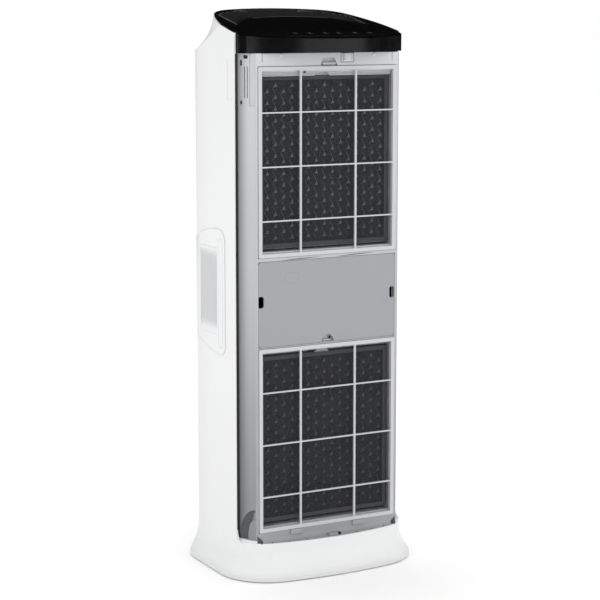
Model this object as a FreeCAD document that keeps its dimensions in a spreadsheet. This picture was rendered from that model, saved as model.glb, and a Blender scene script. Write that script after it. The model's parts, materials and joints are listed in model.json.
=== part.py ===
import FreeCAD, Part
import math
import os
import re
import Sketcher
from FreeCAD import Placement, Rotation, Vector

# Free-standing two-fan air purifier tower, front cover off, so both filter bays show.
# Millimetres, +Z up, front towards -Y. The origin is the middle of the footprint on the floor.

DIMENSIONS = [
    # Outer casing
    ("wall", 3, "casing wall"),
    ("column_half", 174, "half width of the column"),
    ("column_rear", 155.5, "furthest point of the column's rear"),
    ("column_rear_arc", 600, "radius of the column's bowed rear"),
    ("column_corner", 65, "rear corner of the column"),
    ("shell_front", -75, "front edge of the casing's sides"),
    ("foot_half", 199.5, "half width of the flared foot"),
    ("foot_front", -164, "furthest point of the foot's front"),
    ("foot_rear", 164, "furthest point of the foot's rear"),
    ("foot_front_arc", 800, "radius of the foot's bowed front"),
    ("foot_front_corner", 100, "front corner of the foot"),
    ("foot_rear_arc", 450, "radius of the foot's bowed rear"),
    ("foot_rear_corner", 85, "rear corner of the foot"),
    ("lip_front", -143, "front of the foot at lip height"),
    ("lip_front_arc", 600, "radius of the front at lip height"),
    ("lip_front_corner", 62, "front corner at lip height"),
    ("lip_height", 69.5, "top of the foot's front lip"),
    ("rim_top", 9.5, "top of the tray's rim"),
    ("flare_start", 10.5, "where the flare leaves the rim"),
    ("flare_power", 2.4, "how suddenly the flare spreads towards the rim"),
    ("corner_step", 73.5, "top of the white corners behind the lip"),
    ("opening_fillet", 18, "round where the lip turns up to the side"),
    ("skirt_top", 90, "where the skirt meets the column"),
    ("neck_front", -69, "where the neck starts to narrow"),
    ("neck_side_arc", 350, "side arc of the neck's plan"),
    ("neck_corner", 70, "corner arc of the neck's plan"),
    ("neck_rear_arc", 400, "rear arc of the neck's plan"),
    ("neck_rear", 123, "furthest point of the neck's rear"),
    ("scoop_radius", 97, "concave round between column and neck"),
    ("scoop_top", 1057.5, "where the round becomes upright"),
    ("top_low", 1018.5, "top surface at the neck's front"),
    ("top_high", 1060, "top surface at the neck's rear"),
    # Head
    ("head_half", 170, "half width of the head's front"),
    ("head_front", -150, "furthest point of the head's front"),
    ("head_arc", 290, "bow of the head's front"),
    ("head_corner", 18, "front corner of the head"),
    ("head_bottom", 980.5, "lower edge of the head's band"),
    ("head_nose", 1008, "top surface at the head's front"),
    ("head_wall", 3, "head moulding"),
    ("glass_inset", 5, "rim of the head round the control glass"),
    ("glass_rear", 50, "middle of the glass's arched rear edge"),
    ("glass_arch_half", 80, "half width of the arch"),
    ("glass_arch_end", 38, "rear edge where the arch ends"),
    ("glass_hip_half", 138, "half width where the glass narrows to the arch"),
    ("glass_hip", -18, "rear edge where the glass narrows to the arch"),
    ("glass_thick", 1.2, "control glass"),
    ("outlet_half", 141, "half width of the air outlet"),
    ("outlet_rim", 9, "head moulding behind the air outlet"),
    ("outlet_deep", 8, "depth of the outlet's slats"),
    ("slat_pitch", 10.5, "outlet slats"),
    ("slat_thick", 2.2, "outlet slat"),
    # Front
    ("face", -113, "front of the chassis"),
    ("face_half", 150, "half width of the chassis"),
    ("frame_face", -115, "front of the pre-filter frames"),
    ("frame_half", 145, "half width of a pre-filter frame"),
    ("frame_tall", 348.5, "height of a pre-filter frame"),
    ("frame_thick", 7, "depth of a pre-filter frame"),
    ("frame_border", 7, "outer bar of a pre-filter frame"),
    ("frame_post", 3.5, "upright inner bar of a pre-filter frame"),
    ("frame_rail", 2.5, "level inner bar of a pre-filter frame"),
    ("frame_bar_deep", 3.5, "depth of the inner bars"),
    ("frame_round", 3, "corner of a pre-filter frame"),
    ("lower_frame", 87.8, "foot of the lower pre-filter frame"),
    ("upper_frame", 606.2, "foot of the upper pre-filter frame"),
    ("bay_half", 139, "half width of a filter bay"),
    ("bay_depth", 76, "depth of a filter bay behind the flange"),
    ("pad_face", -100, "front of the carbon pads"),
    ("pad_half", 136, "half width of a carbon pad"),
    ("pad_foot", 15.5, "foot of a carbon pad above its frame's foot"),
    ("pad_tall", 316.5, "height of a carbon pad"),
    ("pad_thick", 12, "carbon pad"),
    ("pad_rim", 8, "rim round a carbon pad"),
    ("tab_tall", 6.3, "pull tab on a carbon pad"),
    ("hepa_thick", 42, "fine filter"),
    ("cover_low", 439.5, "foot of the centre cover"),
    ("cover_high", 598.5, "top of the centre cover"),
    ("cover_thick", 3, "centre cover"),
    ("cover_round", 6, "corner of the centre cover"),
    ("wall_long", 41.5, "width of a slanted side wall"),
    ("wall_thick", 3.2, "slanted side wall"),
    ("wall_x", 168, "outer edge of a slanted side wall"),
    ("wall_y", -75.6, "front of the slanted wall's outer edge"),
    ("wall_lean", 64.3, "lean of a slanted side wall, in degrees"),
    ("wall_ledge", 884, "ledge under the side wall's recess"),
    ("wall_low", 74, "foot of the side walls"),
    ("chassis_low", 70, "foot of the chassis"),
    ("chassis_high", 979, "top of the chassis and the side walls"),
    # Fans
    ("lower_fan", 250, "height of the lower fan's axis"),
    ("upper_fan", 790, "height of the upper fan's axis"),
    ("fan_front", -26, "front of a fan housing"),
    ("fan_depth", 100, "depth of a fan housing"),
    ("wheel_radius", 100, "impeller"),
    ("wheel_depth", 66, "impeller's width"),
    ("inlet_radius", 84, "inlet mouth"),
    ("scroll_start", 112, "scroll's radius at its tongue"),
    ("scroll_end", 160, "scroll's radius where it opens"),
    ("scroll_mouth", 40, "inner side of the scroll's mouth"),
    ("scroll_wall", 2.5, "fan housing wall"),
    ("motor_radius", 33, "fan motor"),
    ("shaft_radius", 4, "fan shaft"),
    ("shaft_play", 0.05, "running clearance of the shaft"),
    # Side vents
    ("vent_front", -32, "front edge of a side vent"),
    ("vent_low", 413, "lowest point of a side vent"),
    ("vent_rear_low", 460, "lower edge of a side vent at the rear"),
    ("vent_high", 651, "upper edge of a side vent"),
    ("vent_proud", 1, "how far a side vent stands out"),
]

doc = FreeCAD.newDocument("air_purifier")
sheet = doc.addObject("Spreadsheet::Sheet", "dims")
for row, (alias, value, note) in enumerate(DIMENSIONS, start=1):
    sheet.set("A%d" % row, note)
    sheet.set("B%d" % row, str(value))
    sheet.setAlias("B%d" % row, alias)
doc.recompute()
ALIASES = {entry[0] for entry in DIMENSIONS}
parts = []


def dim(alias):
    return float(sheet.get(alias))


def bound(text):
    """The text with every dimension's name turned into a reference to the sheet."""
    swap = lambda m: "dims." + m.group() if m.group() in ALIASES else m.group()
    return re.sub(r"[A-Za-z_]\w*", swap, str(text))


def number(text):
    result = sheet.evalExpression(bound(text))
    return float(getattr(result, "Value", result))


def keep(item, label):
    item.Label = label
    parts.append(item)
    return item


# ---------------------------------------------------------------- building blocks

def box(x, y, z):
    """A Part::Box between two bounds on each axis, each bound an expression."""
    item = doc.addObject("Part::Box", "block")
    for size, axis, span in (("Length", "x", x), ("Width", "y", y), ("Height", "z", z)):
        item.setExpression(size, bound("(%s) - (%s)" % (span[1], span[0])))
        item.setExpression("Placement.Base." + axis, bound(span[0]))
    return item


def rod(radius, x, y, z):
    """A Part::Cylinder along Y: y is its two ends, x and z its axis."""
    item = doc.addObject("Part::Cylinder", "rod")
    item.setExpression("Radius", bound(radius))
    item.setExpression("Height", bound("(%s) - (%s)" % (y[1], y[0])))
    item.Placement = Placement(Vector(0, 0, 0), Rotation(Vector(1, 0, 0), -90))
    for axis, place in (("x", x), ("y", y[0]), ("z", z)):
        item.setExpression("Placement.Base." + axis, bound(place))
    return item


def taper(foot_x, top_x, y, z):
    """A Part::Wedge between two upright planes: its foot is foot_x wide and its top top_x."""
    item = doc.addObject("Part::Wedge", "taper")
    depth, tall = "(%s) - (%s)" % (y[1], y[0]), "(%s) - (%s)" % (z[1], z[0])
    zero = "0"
    for size, text in (("Xmin", foot_x[0]), ("Xmax", foot_x[1]), ("X2min", top_x[0]), ("X2max", top_x[1]),
                       ("Ymin", zero), ("Ymax", tall), ("Zmin", zero), ("Zmax", depth),
                       ("Z2min", zero), ("Z2max", depth)):
        item.setExpression(size, bound(text))
    item.Placement = Placement(Vector(0, 0, 0), Rotation(Vector(1, 0, 0), 90))
    item.setExpression("Placement.Base.y", bound(y[1]))
    item.setExpression("Placement.Base.z", bound(z[0]))
    return item


def fuse(items):
    item = doc.addObject("Part::MultiFuse", "joined")
    item.Shapes = items
    return item


def cut(base, tools):
    item = doc.addObject("Part::Cut", "trimmed")
    item.Base = base
    item.Tool = tools[0] if len(tools) == 1 else fuse(tools)
    return item


def solid(shape):
    """A Part::Feature for a shape that no sketch or primitive fits."""
    item = doc.addObject("Part::Feature", "free_shape")
    item.Shape = shape
    item.Placement = Placement(Vector(0, 0, 0), Rotation())
    return item


def new_sketch(body, name):
    """A sketch on the body's own XZ plane."""
    plane = [f for f in body.Origin.OriginFeatures if f.Role == "XZ_Plane"][0]
    sketch = body.newObject("Sketcher::SketchObject", name)
    sketch.AttachmentSupport = [(plane, "")]
    sketch.MapMode = "FlatFace"
    return sketch


def loop(sketch, points):
    """A closed outline of straight lines; every point is a pair of expressions."""
    first = sketch.GeometryCount
    flat = [Vector(number(a), number(b), 0) for a, b in points]
    count = len(points)
    for i in range(count):
        sketch.addGeometry(Part.LineSegment(flat[i], flat[(i + 1) % count]))
    for i in range(count):
        joint = Sketcher.Constraint("Coincident", first + i, 2, first + (i + 1) % count, 1)
        sketch.addConstraint(joint)
    for i, pair in enumerate(points):
        for kind, text, at in (("DistanceX", pair[0], flat[i].x), ("DistanceY", pair[1], flat[i].y)):
            index = sketch.addConstraint(Sketcher.Constraint(kind, -1, 1, first + i, 1, at))
            sketch.setExpression("Constraints[%d]" % index, bound(text))


def rectangle(x, z):
    return [(x[0], z[0]), (x[1], z[0]), (x[1], z[1]), (x[0], z[1])]


def add_pad(body, outlines, thick):
    """Pads closed outlines towards the rear; an outline inside another is a hole in it."""
    sketch = new_sketch(body, "outline")
    for outline in outlines:
        loop(sketch, outline)
    pad = body.newObject("PartDesign::Pad", "pad")
    pad.Profile = sketch
    pad.Reversed = True
    pad.setExpression("Length", bound(thick))
    doc.recompute()


def upright_plate(label, outlines, thick, face, foot):
    """A body drawn on the XZ plane, its front at y = face and its lower edge at z = foot."""
    body = doc.addObject("PartDesign::Body", label)
    add_pad(body, outlines, thick)
    body.setExpression("Placement.Base.y", bound(face))
    body.setExpression("Placement.Base.z", bound(foot))
    doc.recompute()
    return body


def windows(body, outlines):
    """Openings right through an upright plate."""
    before = body.Tip.Shape.Volume
    sketch = new_sketch(body, "windows")
    for outline in outlines:
        loop(sketch, outline)
    pocket = body.newObject("PartDesign::Pocket", "openings")
    pocket.Profile = sketch
    pocket.Type = "ThroughAll"
    pocket.Midplane = True
    doc.recompute()
    if pocket.Shape.Volume >= before:
        raise RuntimeError("the openings of %s cut nothing" % body.Label)


def round_corners(body, radius):
    """Rounds the four outer edges that run front to back."""
    base = body.Tip
    limits = base.Shape.BoundBox
    names = []
    for index, edge in enumerate(base.Shape.Edges, start=1):
        a, b = edge.Vertexes[0].Point, edge.Vertexes[-1].Point
        along = abs(a.x - b.x) < 1e-6 and abs(a.z - b.z) < 1e-6
        on_side = min(abs(a.x - limits.XMin), abs(a.x - limits.XMax)) < 1e-6
        on_end = min(abs(a.z - limits.ZMin), abs(a.z - limits.ZMax)) < 1e-6
        if along and on_side and on_end:
            names.append("Edge%d" % index)
    fillet = body.newObject("PartDesign::Fillet", "rounding")
    fillet.Base = (base, names)
    fillet.setExpression("Radius", bound(radius))
    doc.recompute()


def polygon(points, level):
    """A level face from straight lines."""
    spots = [Vector(x, y, level) for x, y in points]
    return Part.Face(Part.makePolygon(spots + spots[:1]))


def mirrored(shape):
    return shape.mirror(Vector(0, 0, 0), Vector(1, 0, 0))


# ---------------------------------------------------------------- plan outlines

def corner_centre(half, corner, apex, arc, side):
    """Centre of the corner arc between a straight side and a bowed end.
    side is -1 for an end at the front and +1 for one at the rear."""
    x = half - corner
    middle = apex - side * arc
    return x, middle + side * math.sqrt((arc - corner) ** 2 - x ** 2), middle


def arc_edge(centre, radius, start, end):
    """An arc about (x, y) between two angles in degrees."""
    spots = []
    for angle in (start, (start + end) / 2, end):
        a = math.radians(angle)
        spots.append(Vector(centre[0] + radius * math.cos(a), centre[1] + radius * math.sin(a), 0))
    return Part.Arc(*spots).toShape()


def ring_wire(edges, level):
    wire = Part.Wire(Part.__sortEdges__(edges))
    wire.translate(Vector(0, 0, level))
    return wire


def end_edges(half, corner, apex, arc, side):
    """Corner, bow and corner of one end, and where its corners meet the sides."""
    x, y, middle = corner_centre(half, corner, apex, arc, side)
    lean = math.degrees(math.atan2(y - middle, x))
    far = side * 180 - lean
    edges = [arc_edge((x, y), corner, 0, lean),
             arc_edge((0, middle), arc, lean, far),
             arc_edge((-x, y), corner, far, side * 180)]
    return edges, y


def plan(half, front, front_arc, front_corner, rear, rear_arc, rear_corner, level):
    """A closed plan with straight sides and bowed ends."""
    front_edges, y_front = end_edges(half, front_corner, front, front_arc, -1)
    rear_edges, y_rear = end_edges(half, rear_corner, rear, rear_arc, 1)
    sides = [Part.makeLine(Vector(s * half, y_front, 0), Vector(s * half, y_rear, 0)) for s in (1, -1)]
    return ring_wire(front_edges + rear_edges + sides, level)


def foot_plan(spread, level, inset=0.0):
    """The foot's plan; spread runs from 0 at the lip to 1 at the rim."""
    mix = lambda a, b: dim(a) + (dim(b) - dim(a)) * spread
    return plan(mix("column_half", "foot_half") - inset,
                mix("lip_front", "foot_front") + inset,
                mix("lip_front_arc", "foot_front_arc") - inset,
                mix("lip_front_corner", "foot_front_corner") - inset,
                mix("column_rear", "foot_rear") - inset,
                mix("column_rear_arc", "foot_rear_arc") - inset,
                mix("column_corner", "foot_rear_corner") - inset, level)


def open_rear_wire(half, rear_edges, y_rear, front, level):
    """A plan that is square at the front, for pieces trimmed there later."""
    lines = [Part.makeLine(Vector(half, front, 0), Vector(half, y_rear, 0)),
             Part.makeLine(Vector(-half, front, 0), Vector(-half, y_rear, 0)),
             Part.makeLine(Vector(-half, front, 0), Vector(half, front, 0))]
    return ring_wire(lines + rear_edges, level)


def column_wire(inset, level, front):
    half = dim("column_half") - inset
    edges, y_rear = end_edges(half, dim("column_corner") - inset, dim("column_rear") - inset,
                              dim("column_rear_arc") - inset, 1)
    return open_rear_wire(half, edges, y_rear, front, level)


def neck_edges(grow):
    """Side, corner, rear, corner and side arcs of the neck's plan, grown outward."""
    half = dim("column_half")
    side_arc, corner, rear_arc = dim("neck_side_arc"), dim("neck_corner"), dim("neck_rear_arc")
    side = Vector(half - side_arc, dim("neck_front"), 0)
    rear = Vector(0, dim("neck_rear") - rear_arc, 0)
    # The corner's centre is side_arc - corner from one centre and rear_arc - corner from the other.
    reach_side, reach_rear = side_arc - corner, rear_arc - corner
    gap = rear.sub(side)
    span = gap.Length
    along = (reach_side ** 2 - reach_rear ** 2 + span ** 2) / (2 * span)
    away = math.sqrt(reach_side ** 2 - along ** 2)
    unit = gap.multiply(1 / span)
    across = Vector(-unit.y, unit.x, 0)
    centre = side.add(unit * along).add(across * away)
    lean_side = math.degrees(math.atan2(centre.y - side.y, centre.x - side.x))
    lean_rear = math.degrees(math.atan2(centre.y - rear.y, centre.x - rear.x))
    return [arc_edge((side.x, side.y), side_arc + grow, 0, lean_side),
            arc_edge((centre.x, centre.y), corner + grow, lean_side, lean_rear),
            arc_edge((0, rear.y), rear_arc + grow, lean_rear, 180 - lean_rear),
            arc_edge((-centre.x, centre.y), corner + grow, 180 - lean_rear, 180 - lean_side),
            arc_edge((-side.x, side.y), side_arc + grow, 180 - lean_side, 180)]


def neck_wire(grow, level, front):
    return open_rear_wire(dim("column_half") + grow, neck_edges(grow), dim("neck_front"), front, level)


def scoop_reach(level):
    """How far the concave round stands out from the neck at a height."""
    drop = max(dim("scoop_top") - level, 0)
    return dim("scoop_radius") - math.sqrt(dim("scoop_radius") ** 2 - drop ** 2)


def top_slope():
    run = dim("neck_rear") - dim("neck_front")
    return (dim("top_high") - dim("top_low")) / run


def top_face(drop=0.0):
    """Everything above the sloping top surface, as a face in the YZ plane."""
    slope = top_slope()
    y_join, z_join = dim("neck_front"), dim("top_low") - drop
    y_back = dim("foot_rear") + 40
    z_back = z_join + slope * (y_back - y_join)
    y_nose, z_nose = dim("head_front"), dim("head_nose") - drop
    y_out = y_nose - 40
    # The nose is an arc tangent to the slope; its middle point follows from the tangent there.
    turn = (z_join - z_nose) / (y_join - y_nose)
    nose_slope = 2 * turn - slope
    y_mid = (y_join + y_nose) / 2
    z_mid = z_nose + (nose_slope + turn) / 2 * (y_mid - y_nose)
    start = Vector(0, y_join, z_join)
    end = Vector(0, y_nose, z_nose)
    out = Vector(0, y_out, z_nose - 40 * nose_slope)
    high = dim("top_high") + 60
    edges = [Part.makeLine(Vector(0, y_back, z_back), start),
             Part.Arc(start, Vector(0, y_mid, z_mid), end).toShape(),
             Part.makeLine(end, out),
             Part.makeLine(out, Vector(0, y_out, high)),
             Part.makeLine(Vector(0, y_out, high), Vector(0, y_back, high)),
             Part.makeLine(Vector(0, y_back, high), Vector(0, y_back, z_back))]
    return Part.Face(Part.Wire(edges))


def above_top(drop=0.0):
    reach = dim("foot_half") + 20
    block = top_face(drop).extrude(Vector(2 * reach, 0, 0))
    block.translate(Vector(-reach, 0, 0))
    return block


# ---------------------------------------------------------------- casing

def casing_body(inset, bottom, top):
    """Foot flare, column and neck as one solid, for the outside or the inside of the wall."""
    lip, start = dim("lip_height"), dim("flare_start")
    levels = [start + (lip - start) * step / 7 for step in range(8)]
    wires = []
    for level in levels:
        spread = (1 - (level - start) / (lip - start)) ** dim("flare_power")
        wires.append(foot_plan(spread, level, inset))
    flare = Part.makeLoft(wires, True, False)
    rim = Part.Face(foot_plan(1, bottom, inset)).extrude(Vector(0, 0, start - bottom))
    front = dim("shell_front") - 60
    shoulder = dim("scoop_top") - dim("scoop_radius") * 0.84
    column = Part.Face(column_wire(inset, lip, front)).extrude(Vector(0, 0, top - lip))
    depths = (0.84, 0.72, 0.6, 0.48, 0.36, 0.24, 0.12, 0.0)
    heights = [dim("scoop_top") - dim("scoop_radius") * part for part in depths]
    neck_wires = [neck_wire(scoop_reach(h) - inset, h, front) for h in heights]
    neck = Part.makeLoft(neck_wires, True, False)
    cap = Part.Face(neck_wire(-inset, dim("scoop_top"), front)).extrude(Vector(0, 0, top - dim("scoop_top")))
    upper = column.common(neck.fuse(cap))
    lower = Part.Face(column_wire(inset, lip, front)).extrude(Vector(0, 0, shoulder - lip))
    return rim.fuse([flare, lower, upper]).removeSplitter()


def front_opening():
    """What the missing front cover leaves open: above the lip and ahead of the side edges."""
    y, z, r = dim("shell_front"), dim("lip_height"), dim("opening_fillet")
    y_out, high = y - 120, dim("top_high") + 60
    middle = Vector(0, y - r * (1 - math.sqrt(0.5)), z + r * (1 - math.sqrt(0.5)))
    edges = [Part.makeLine(Vector(0, y_out, z), Vector(0, y - r, z)),
             Part.Arc(Vector(0, y - r, z), middle, Vector(0, y, z + r)).toShape(),
             Part.makeLine(Vector(0, y, z + r), Vector(0, y, high)),
             Part.makeLine(Vector(0, y, high), Vector(0, y_out, high)),
             Part.makeLine(Vector(0, y_out, high), Vector(0, y_out, z))]
    reach = dim("foot_half") + 20
    block = Part.Face(Part.Wire(edges)).extrude(Vector(2 * reach, 0, 0))
    block.translate(Vector(-reach, 0, 0))
    return block


def lip_corners():
    """Level corners of the skirt between its lip and the feet of the side walls."""
    low = dim("lip_height") - 3
    tall = dim("corner_step") - low
    block = Part.Face(foot_plan(0, low, dim("wall") - 0.5)).extrude(Vector(0, 0, tall))
    width, rear = 40, -62
    corners = []
    for x in (dim("face_half") + 0.4, -dim("face_half") - 0.4 - width):
        corners.append(block.common(Part.makeBox(width, 90, tall, Vector(x, rear - 90, low))))
    return corners


def outer_shell():
    """The casing in two mouldings that meet flush: the flared skirt and the column."""
    top = dim("top_high") + 20
    outside = casing_body(0, dim("rim_top"), top)
    inside = casing_body(dim("wall"), dim("rim_top") - 5, top + 5)
    shell = outside.cut(inside).cut(front_opening()).cut(above_top(1.5))
    tools = []
    for side in (-1, 1):
        window = Part.makeBox(24, 72, 166, Vector(side * dim("column_half") - 12, 2, 449))
        tools.append(window)
    socket = Part.makeBox(30, 30, 24, Vector(-95, dim("column_rear") - 20, 84))
    sensor = Part.makeBox(1.2, 25, 73, Vector(-dim("column_half"), dim("neck_front") - 0.5, 893))
    shell = shell.cut(tools + [socket, sensor])
    reach, split = dim("foot_half") + 20, dim("skirt_top")
    below = Part.makeBox(2 * reach, 2 * reach, split, Vector(-reach, -reach, 0))
    keep(solid(shell.common(below).fuse(lip_corners()).removeSplitter()), "foot_skirt")
    keep(solid(shell.cut(below)), "outer_shell")


def base_tray():
    """Floor of the foot with its rim."""
    rim_low, rim_top, wall = 1.5, dim("rim_top"), dim("wall")
    outside = Part.Face(foot_plan(1, rim_low)).extrude(Vector(0, 0, rim_top - rim_low))
    edge = [e for e in outside.Edges if e.BoundBox.ZMax < rim_low + 1e-6]
    outside = outside.makeFillet(2.2, edge)
    inside = Part.Face(foot_plan(1, rim_low + wall, wall)).extrude(Vector(0, 0, rim_top))
    return keep(solid(outside.cut(inside)), "base_tray")


def rubber_feet():
    spots = [(sx * 140, y) for sx in (-1, 1) for y in (-105, 110)]
    discs = []
    for x, y in spots:
        disc = Part.makeCylinder(14, 3.0, Vector(x, y, 0))
        rim = [e for e in disc.Edges if e.BoundBox.ZMax < 1e-6]
        discs.append(disc.makeFillet(1.0, rim))
    sockets = [Part.makeCylinder(14, 1.5, Vector(x, y, 1.5)) for x, y in spots]
    tray = [p for p in parts if p.Label == "base_tray"][0]
    tray.Shape = tray.Shape.cut(sockets)
    return keep(solid(Part.makeCompound(discs)), "rubber_feet")


def lip_shelf():
    """Ledge between the foot's lip and the chassis, which it meets in a concave round."""
    top, thick, r, gap = dim("lip_height") - 0.5, 2.5, 8, 0.9
    half, face = dim("face_half"), dim("face") - 0.02
    inside = Part.Face(foot_plan(0, top - thick, dim("wall") + gap)).extrude(Vector(0, 0, thick + r))
    outline = inside.common(Part.makeBox(400, 400, thick, Vector(-200, -200, top - thick)))
    front_half = Part.makeBox(2 * half, 60, 20, Vector(-half, dim("face") - 40, top - 10))
    block = Part.makeBox(2 * half, r, r, Vector(-half, face - r, top))
    hollow = Part.makeCylinder(r, 2 * half, Vector(-half, face - r, top + r), Vector(1, 0, 0))
    ledge = outline.common(front_half).cut(Part.makeBox(2 * half, 60, 20, Vector(-half, face, top - 10)))
    return keep(solid(ledge.fuse(block.cut(hollow).common(inside))), "lip_shelf")


# ---------------------------------------------------------------- head

def head_wire(inset, level):
    """The head's plan: bowed front, short sides and the neck's rounded rear."""
    half, corner = dim("head_half") - inset, dim("head_corner") - inset
    edges, y_front = end_edges(half, corner, dim("head_front") + inset, dim("head_arc") - inset, -1)
    step = dim("shell_front")
    wide = dim("column_half") - 0.4 - inset
    y_neck = dim("neck_front")
    lines = []
    for s in (1, -1):
        lines.append(Part.makeLine(Vector(s * half, y_front, 0), Vector(s * half, step + inset, 0)))
        lines.append(Part.makeLine(Vector(s * half, step + inset, 0), Vector(s * wide, step + inset, 0)))
        lines.append(Part.makeLine(Vector(s * wide, step + inset, 0), Vector(s * wide, y_neck, 0)))
    return ring_wire(edges + lines + neck_edges(-0.4 - inset), level)


def glass_plan(grow, bottom, top):
    """The control glass's outline as a block: bowed front, and a rear that narrows to an arch."""
    inset = dim("glass_inset")
    half = dim("head_half") - inset
    edges, y_front = end_edges(half, dim("head_corner") - inset, dim("head_front") + inset,
                               dim("head_arc") - inset, -1)
    arch_x, arch_y = dim("glass_arch_half"), dim("glass_arch_end")
    hip_x, hip_y = dim("glass_hip_half"), dim("glass_hip")
    side_y = hip_y - (half - hip_x)
    for s in (1, -1):
        path = [(half, y_front), (half, side_y), (hip_x, hip_y), (arch_x, arch_y)]
        spots = [Vector(s * x, y, 0) for x, y in path]
        edges += [Part.makeLine(a, b) for a, b in zip(spots, spots[1:])]
    arch = Part.Arc(Vector(arch_x, arch_y, 0), Vector(0, dim("glass_rear"), 0), Vector(-arch_x, arch_y, 0))
    face = Part.Face(ring_wire(edges + [arch.toShape()], bottom))
    if grow:
        face = face.makeOffset2D(grow)
    return face.extrude(Vector(0, 0, top - bottom))


def outlet_zone(inset, gap, bottom, top):
    """The air outlet in plan: inside the neck's rear, between the flanks and behind the glass."""
    front = dim("shell_front")
    rim = dim("outlet_rim") + inset
    wire = open_rear_wire(dim("column_half") - rim, neck_edges(-rim), dim("neck_front"), front, bottom)
    zone = Part.Face(wire).extrude(Vector(0, 0, top - bottom))
    half = dim("outlet_half") - inset
    zone = zone.common(Part.makeBox(2 * half, 300, top - bottom, Vector(-half, front, bottom)))
    return zone.cut(glass_plan(gap, bottom - 1, top + 1))


def head_cap():
    bottom, high = dim("head_bottom"), dim("top_high") + 30
    wall = dim("head_wall")
    outside = Part.Face(head_wire(0, bottom)).extrude(Vector(0, 0, high - bottom)).cut(above_top())
    rim = [e for e in outside.Edges if e.BoundBox.ZMin > dim("head_nose") - 3
           and e.BoundBox.YMax < dim("shell_front") - 1]
    outside = outside.makeFillet(3, rim)
    inside = Part.Face(head_wire(wall, bottom - 5)).extrude(Vector(0, 0, high - bottom)).cut(above_top(wall))
    tall = dim("top_high") + 60
    lower_block = Part.makeBox(400, 300, tall, Vector(-200, dim("shell_front"), 0)).cut(above_top(1.5))
    floor = Part.Face(head_wire(1, bottom)).extrude(Vector(0, 0, 2))
    floor = floor.common(Part.makeBox(400, 60, 10, Vector(-200, dim("head_front") - 5, bottom - 2)))
    cap = outside.cut(inside).cut(lower_block).fuse(floor)
    recess = glass_plan(0.15, 900, 1200).common(above_top(dim("glass_thick")))
    opening = outlet_zone(0, 2, 900, 1200)
    return keep(solid(cap.cut(recess).cut(opening)), "head_cap")


def control_glass():
    slab = glass_plan(0, 900, 1200).common(above_top(dim("glass_thick"))).cut(above_top(-0.1))
    return keep(solid(slab), "control_glass")


def outlet_slats():
    """Slats across the air outlet, a border that carries them and three ribs under them."""
    zone = outlet_zone(0.2, 2.2, 900, 1200)
    deep = zone.common(above_top(dim("outlet_deep")).cut(above_top(1.6)))
    pitch, thick = dim("slat_pitch"), dim("slat_thick")
    blades = []
    for step in range(13):
        y = dim("glass_hip") + 2 + step * pitch
        blades.append(Part.makeBox(400, thick, 200, Vector(-200, y, 920)))
    ribs = [Part.makeBox(thick, 260, 200, Vector(x - thick / 2, -100, 920)) for x in (-70, 0, 70)]
    low_layer = above_top(dim("outlet_deep")).cut(above_top(4.5))
    spokes = Part.makeCompound(ribs).common(zone.common(low_layer))
    grid = deep.common(Part.makeCompound(blades))
    border = deep.cut(outlet_zone(2.2, 4.2, 900, 1200)).common(low_layer)
    return keep(solid(border.fuse([grid, spokes])), "outlet_louvre")


# ---------------------------------------------------------------- front chassis

def bay_tools(foot):
    """The rebate for a pre-filter frame and the bay behind it."""
    rebate = box(("-frame_half - 0.6", "frame_half + 0.6"), ("face - 5", "frame_face + frame_thick + 0.5"),
                 (foot + " - 0.6", foot + " + frame_tall + 0.6"))
    bay = box(("-bay_half", "bay_half"), ("face - 5", "face + 8.6 + bay_depth + 1"),
              (foot + " + 10", foot + " + frame_tall - 10"))
    return [rebate, bay]


def front_chassis():
    """Front moulding with a tub for each filter stack and a pocket behind the centre cover."""
    plate = box(("-face_half", "face_half"), ("face", "face + 8.6"), ("70", "979"))
    tubs = []
    tools = []
    for foot in ("lower_frame", "upper_frame"):
        tubs.append(box(("-bay_half - 3", "bay_half + 3"), ("face + 1", "face + 8.6 + bay_depth"),
                        (foot + " + 7", foot + " + frame_tall - 7")))
        tools += bay_tools(foot)
    pocket = box(("-frame_half - 0.6", "frame_half + 0.6"), ("face - 5", "face + 3.4"),
                 ("cover_low - 0.6", "cover_high + 0.6"))
    well = box(("-118", "118"), ("face - 5", "face + 7"), ("cover_low + 12", "cover_high - 12"))
    left = box(("-143", "-128"), ("face - 5", "face + 9"), ("511.5", "536.5"))
    right = box(("128", "143"), ("face - 5", "face + 9"), ("511.5", "536.5"))
    low = box(("-13", "13"), ("face - 5", "face + 7"), ("cover_low + 1", "cover_low + 14"))
    latch_slot = taper(("-15.5", "19"), ("-11", "12.5"), ("face - 5", "face + 6.6"), ("956", "970"))
    clip_slot = box(("26", "54"), ("face - 5", "face + 6.6"), ("961", "980"))
    tools += [pocket, well, left, right, low, latch_slot, clip_slot]
    for x in ("-137", "135.8"):
        tools.append(box((x, x + " + 1.2"), ("face - 5", "face + 2"), ("962.6", "980")))
    return keep(cut(fuse([plate] + tubs), tools), "front_chassis")


def wall_cut(along, width, low, high, deep):
    """A block that cuts into the slanted wall; along is its middle as a share of the wall's width."""
    middle = along * dim("wall_long")
    return Part.makeBox(width, deep + 1, high - low, Vector(middle - width / 2, -1, low))


def finger_scoop():
    """Crescent hollow at the foot of the slanted wall, in the wall's own plane."""
    outer = Part.makeCylinder(40, 2.2, Vector(44, 0, 84), Vector(0, 1, 0))
    inner = Part.makeCylinder(40, 4, Vector(54, -1, 78), Vector(0, 1, 0))
    edge = Part.makeBox(60, 6, 60, Vector(0, -2, dim("wall_low") + 3))
    return outer.cut(inner).common(edge)


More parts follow.
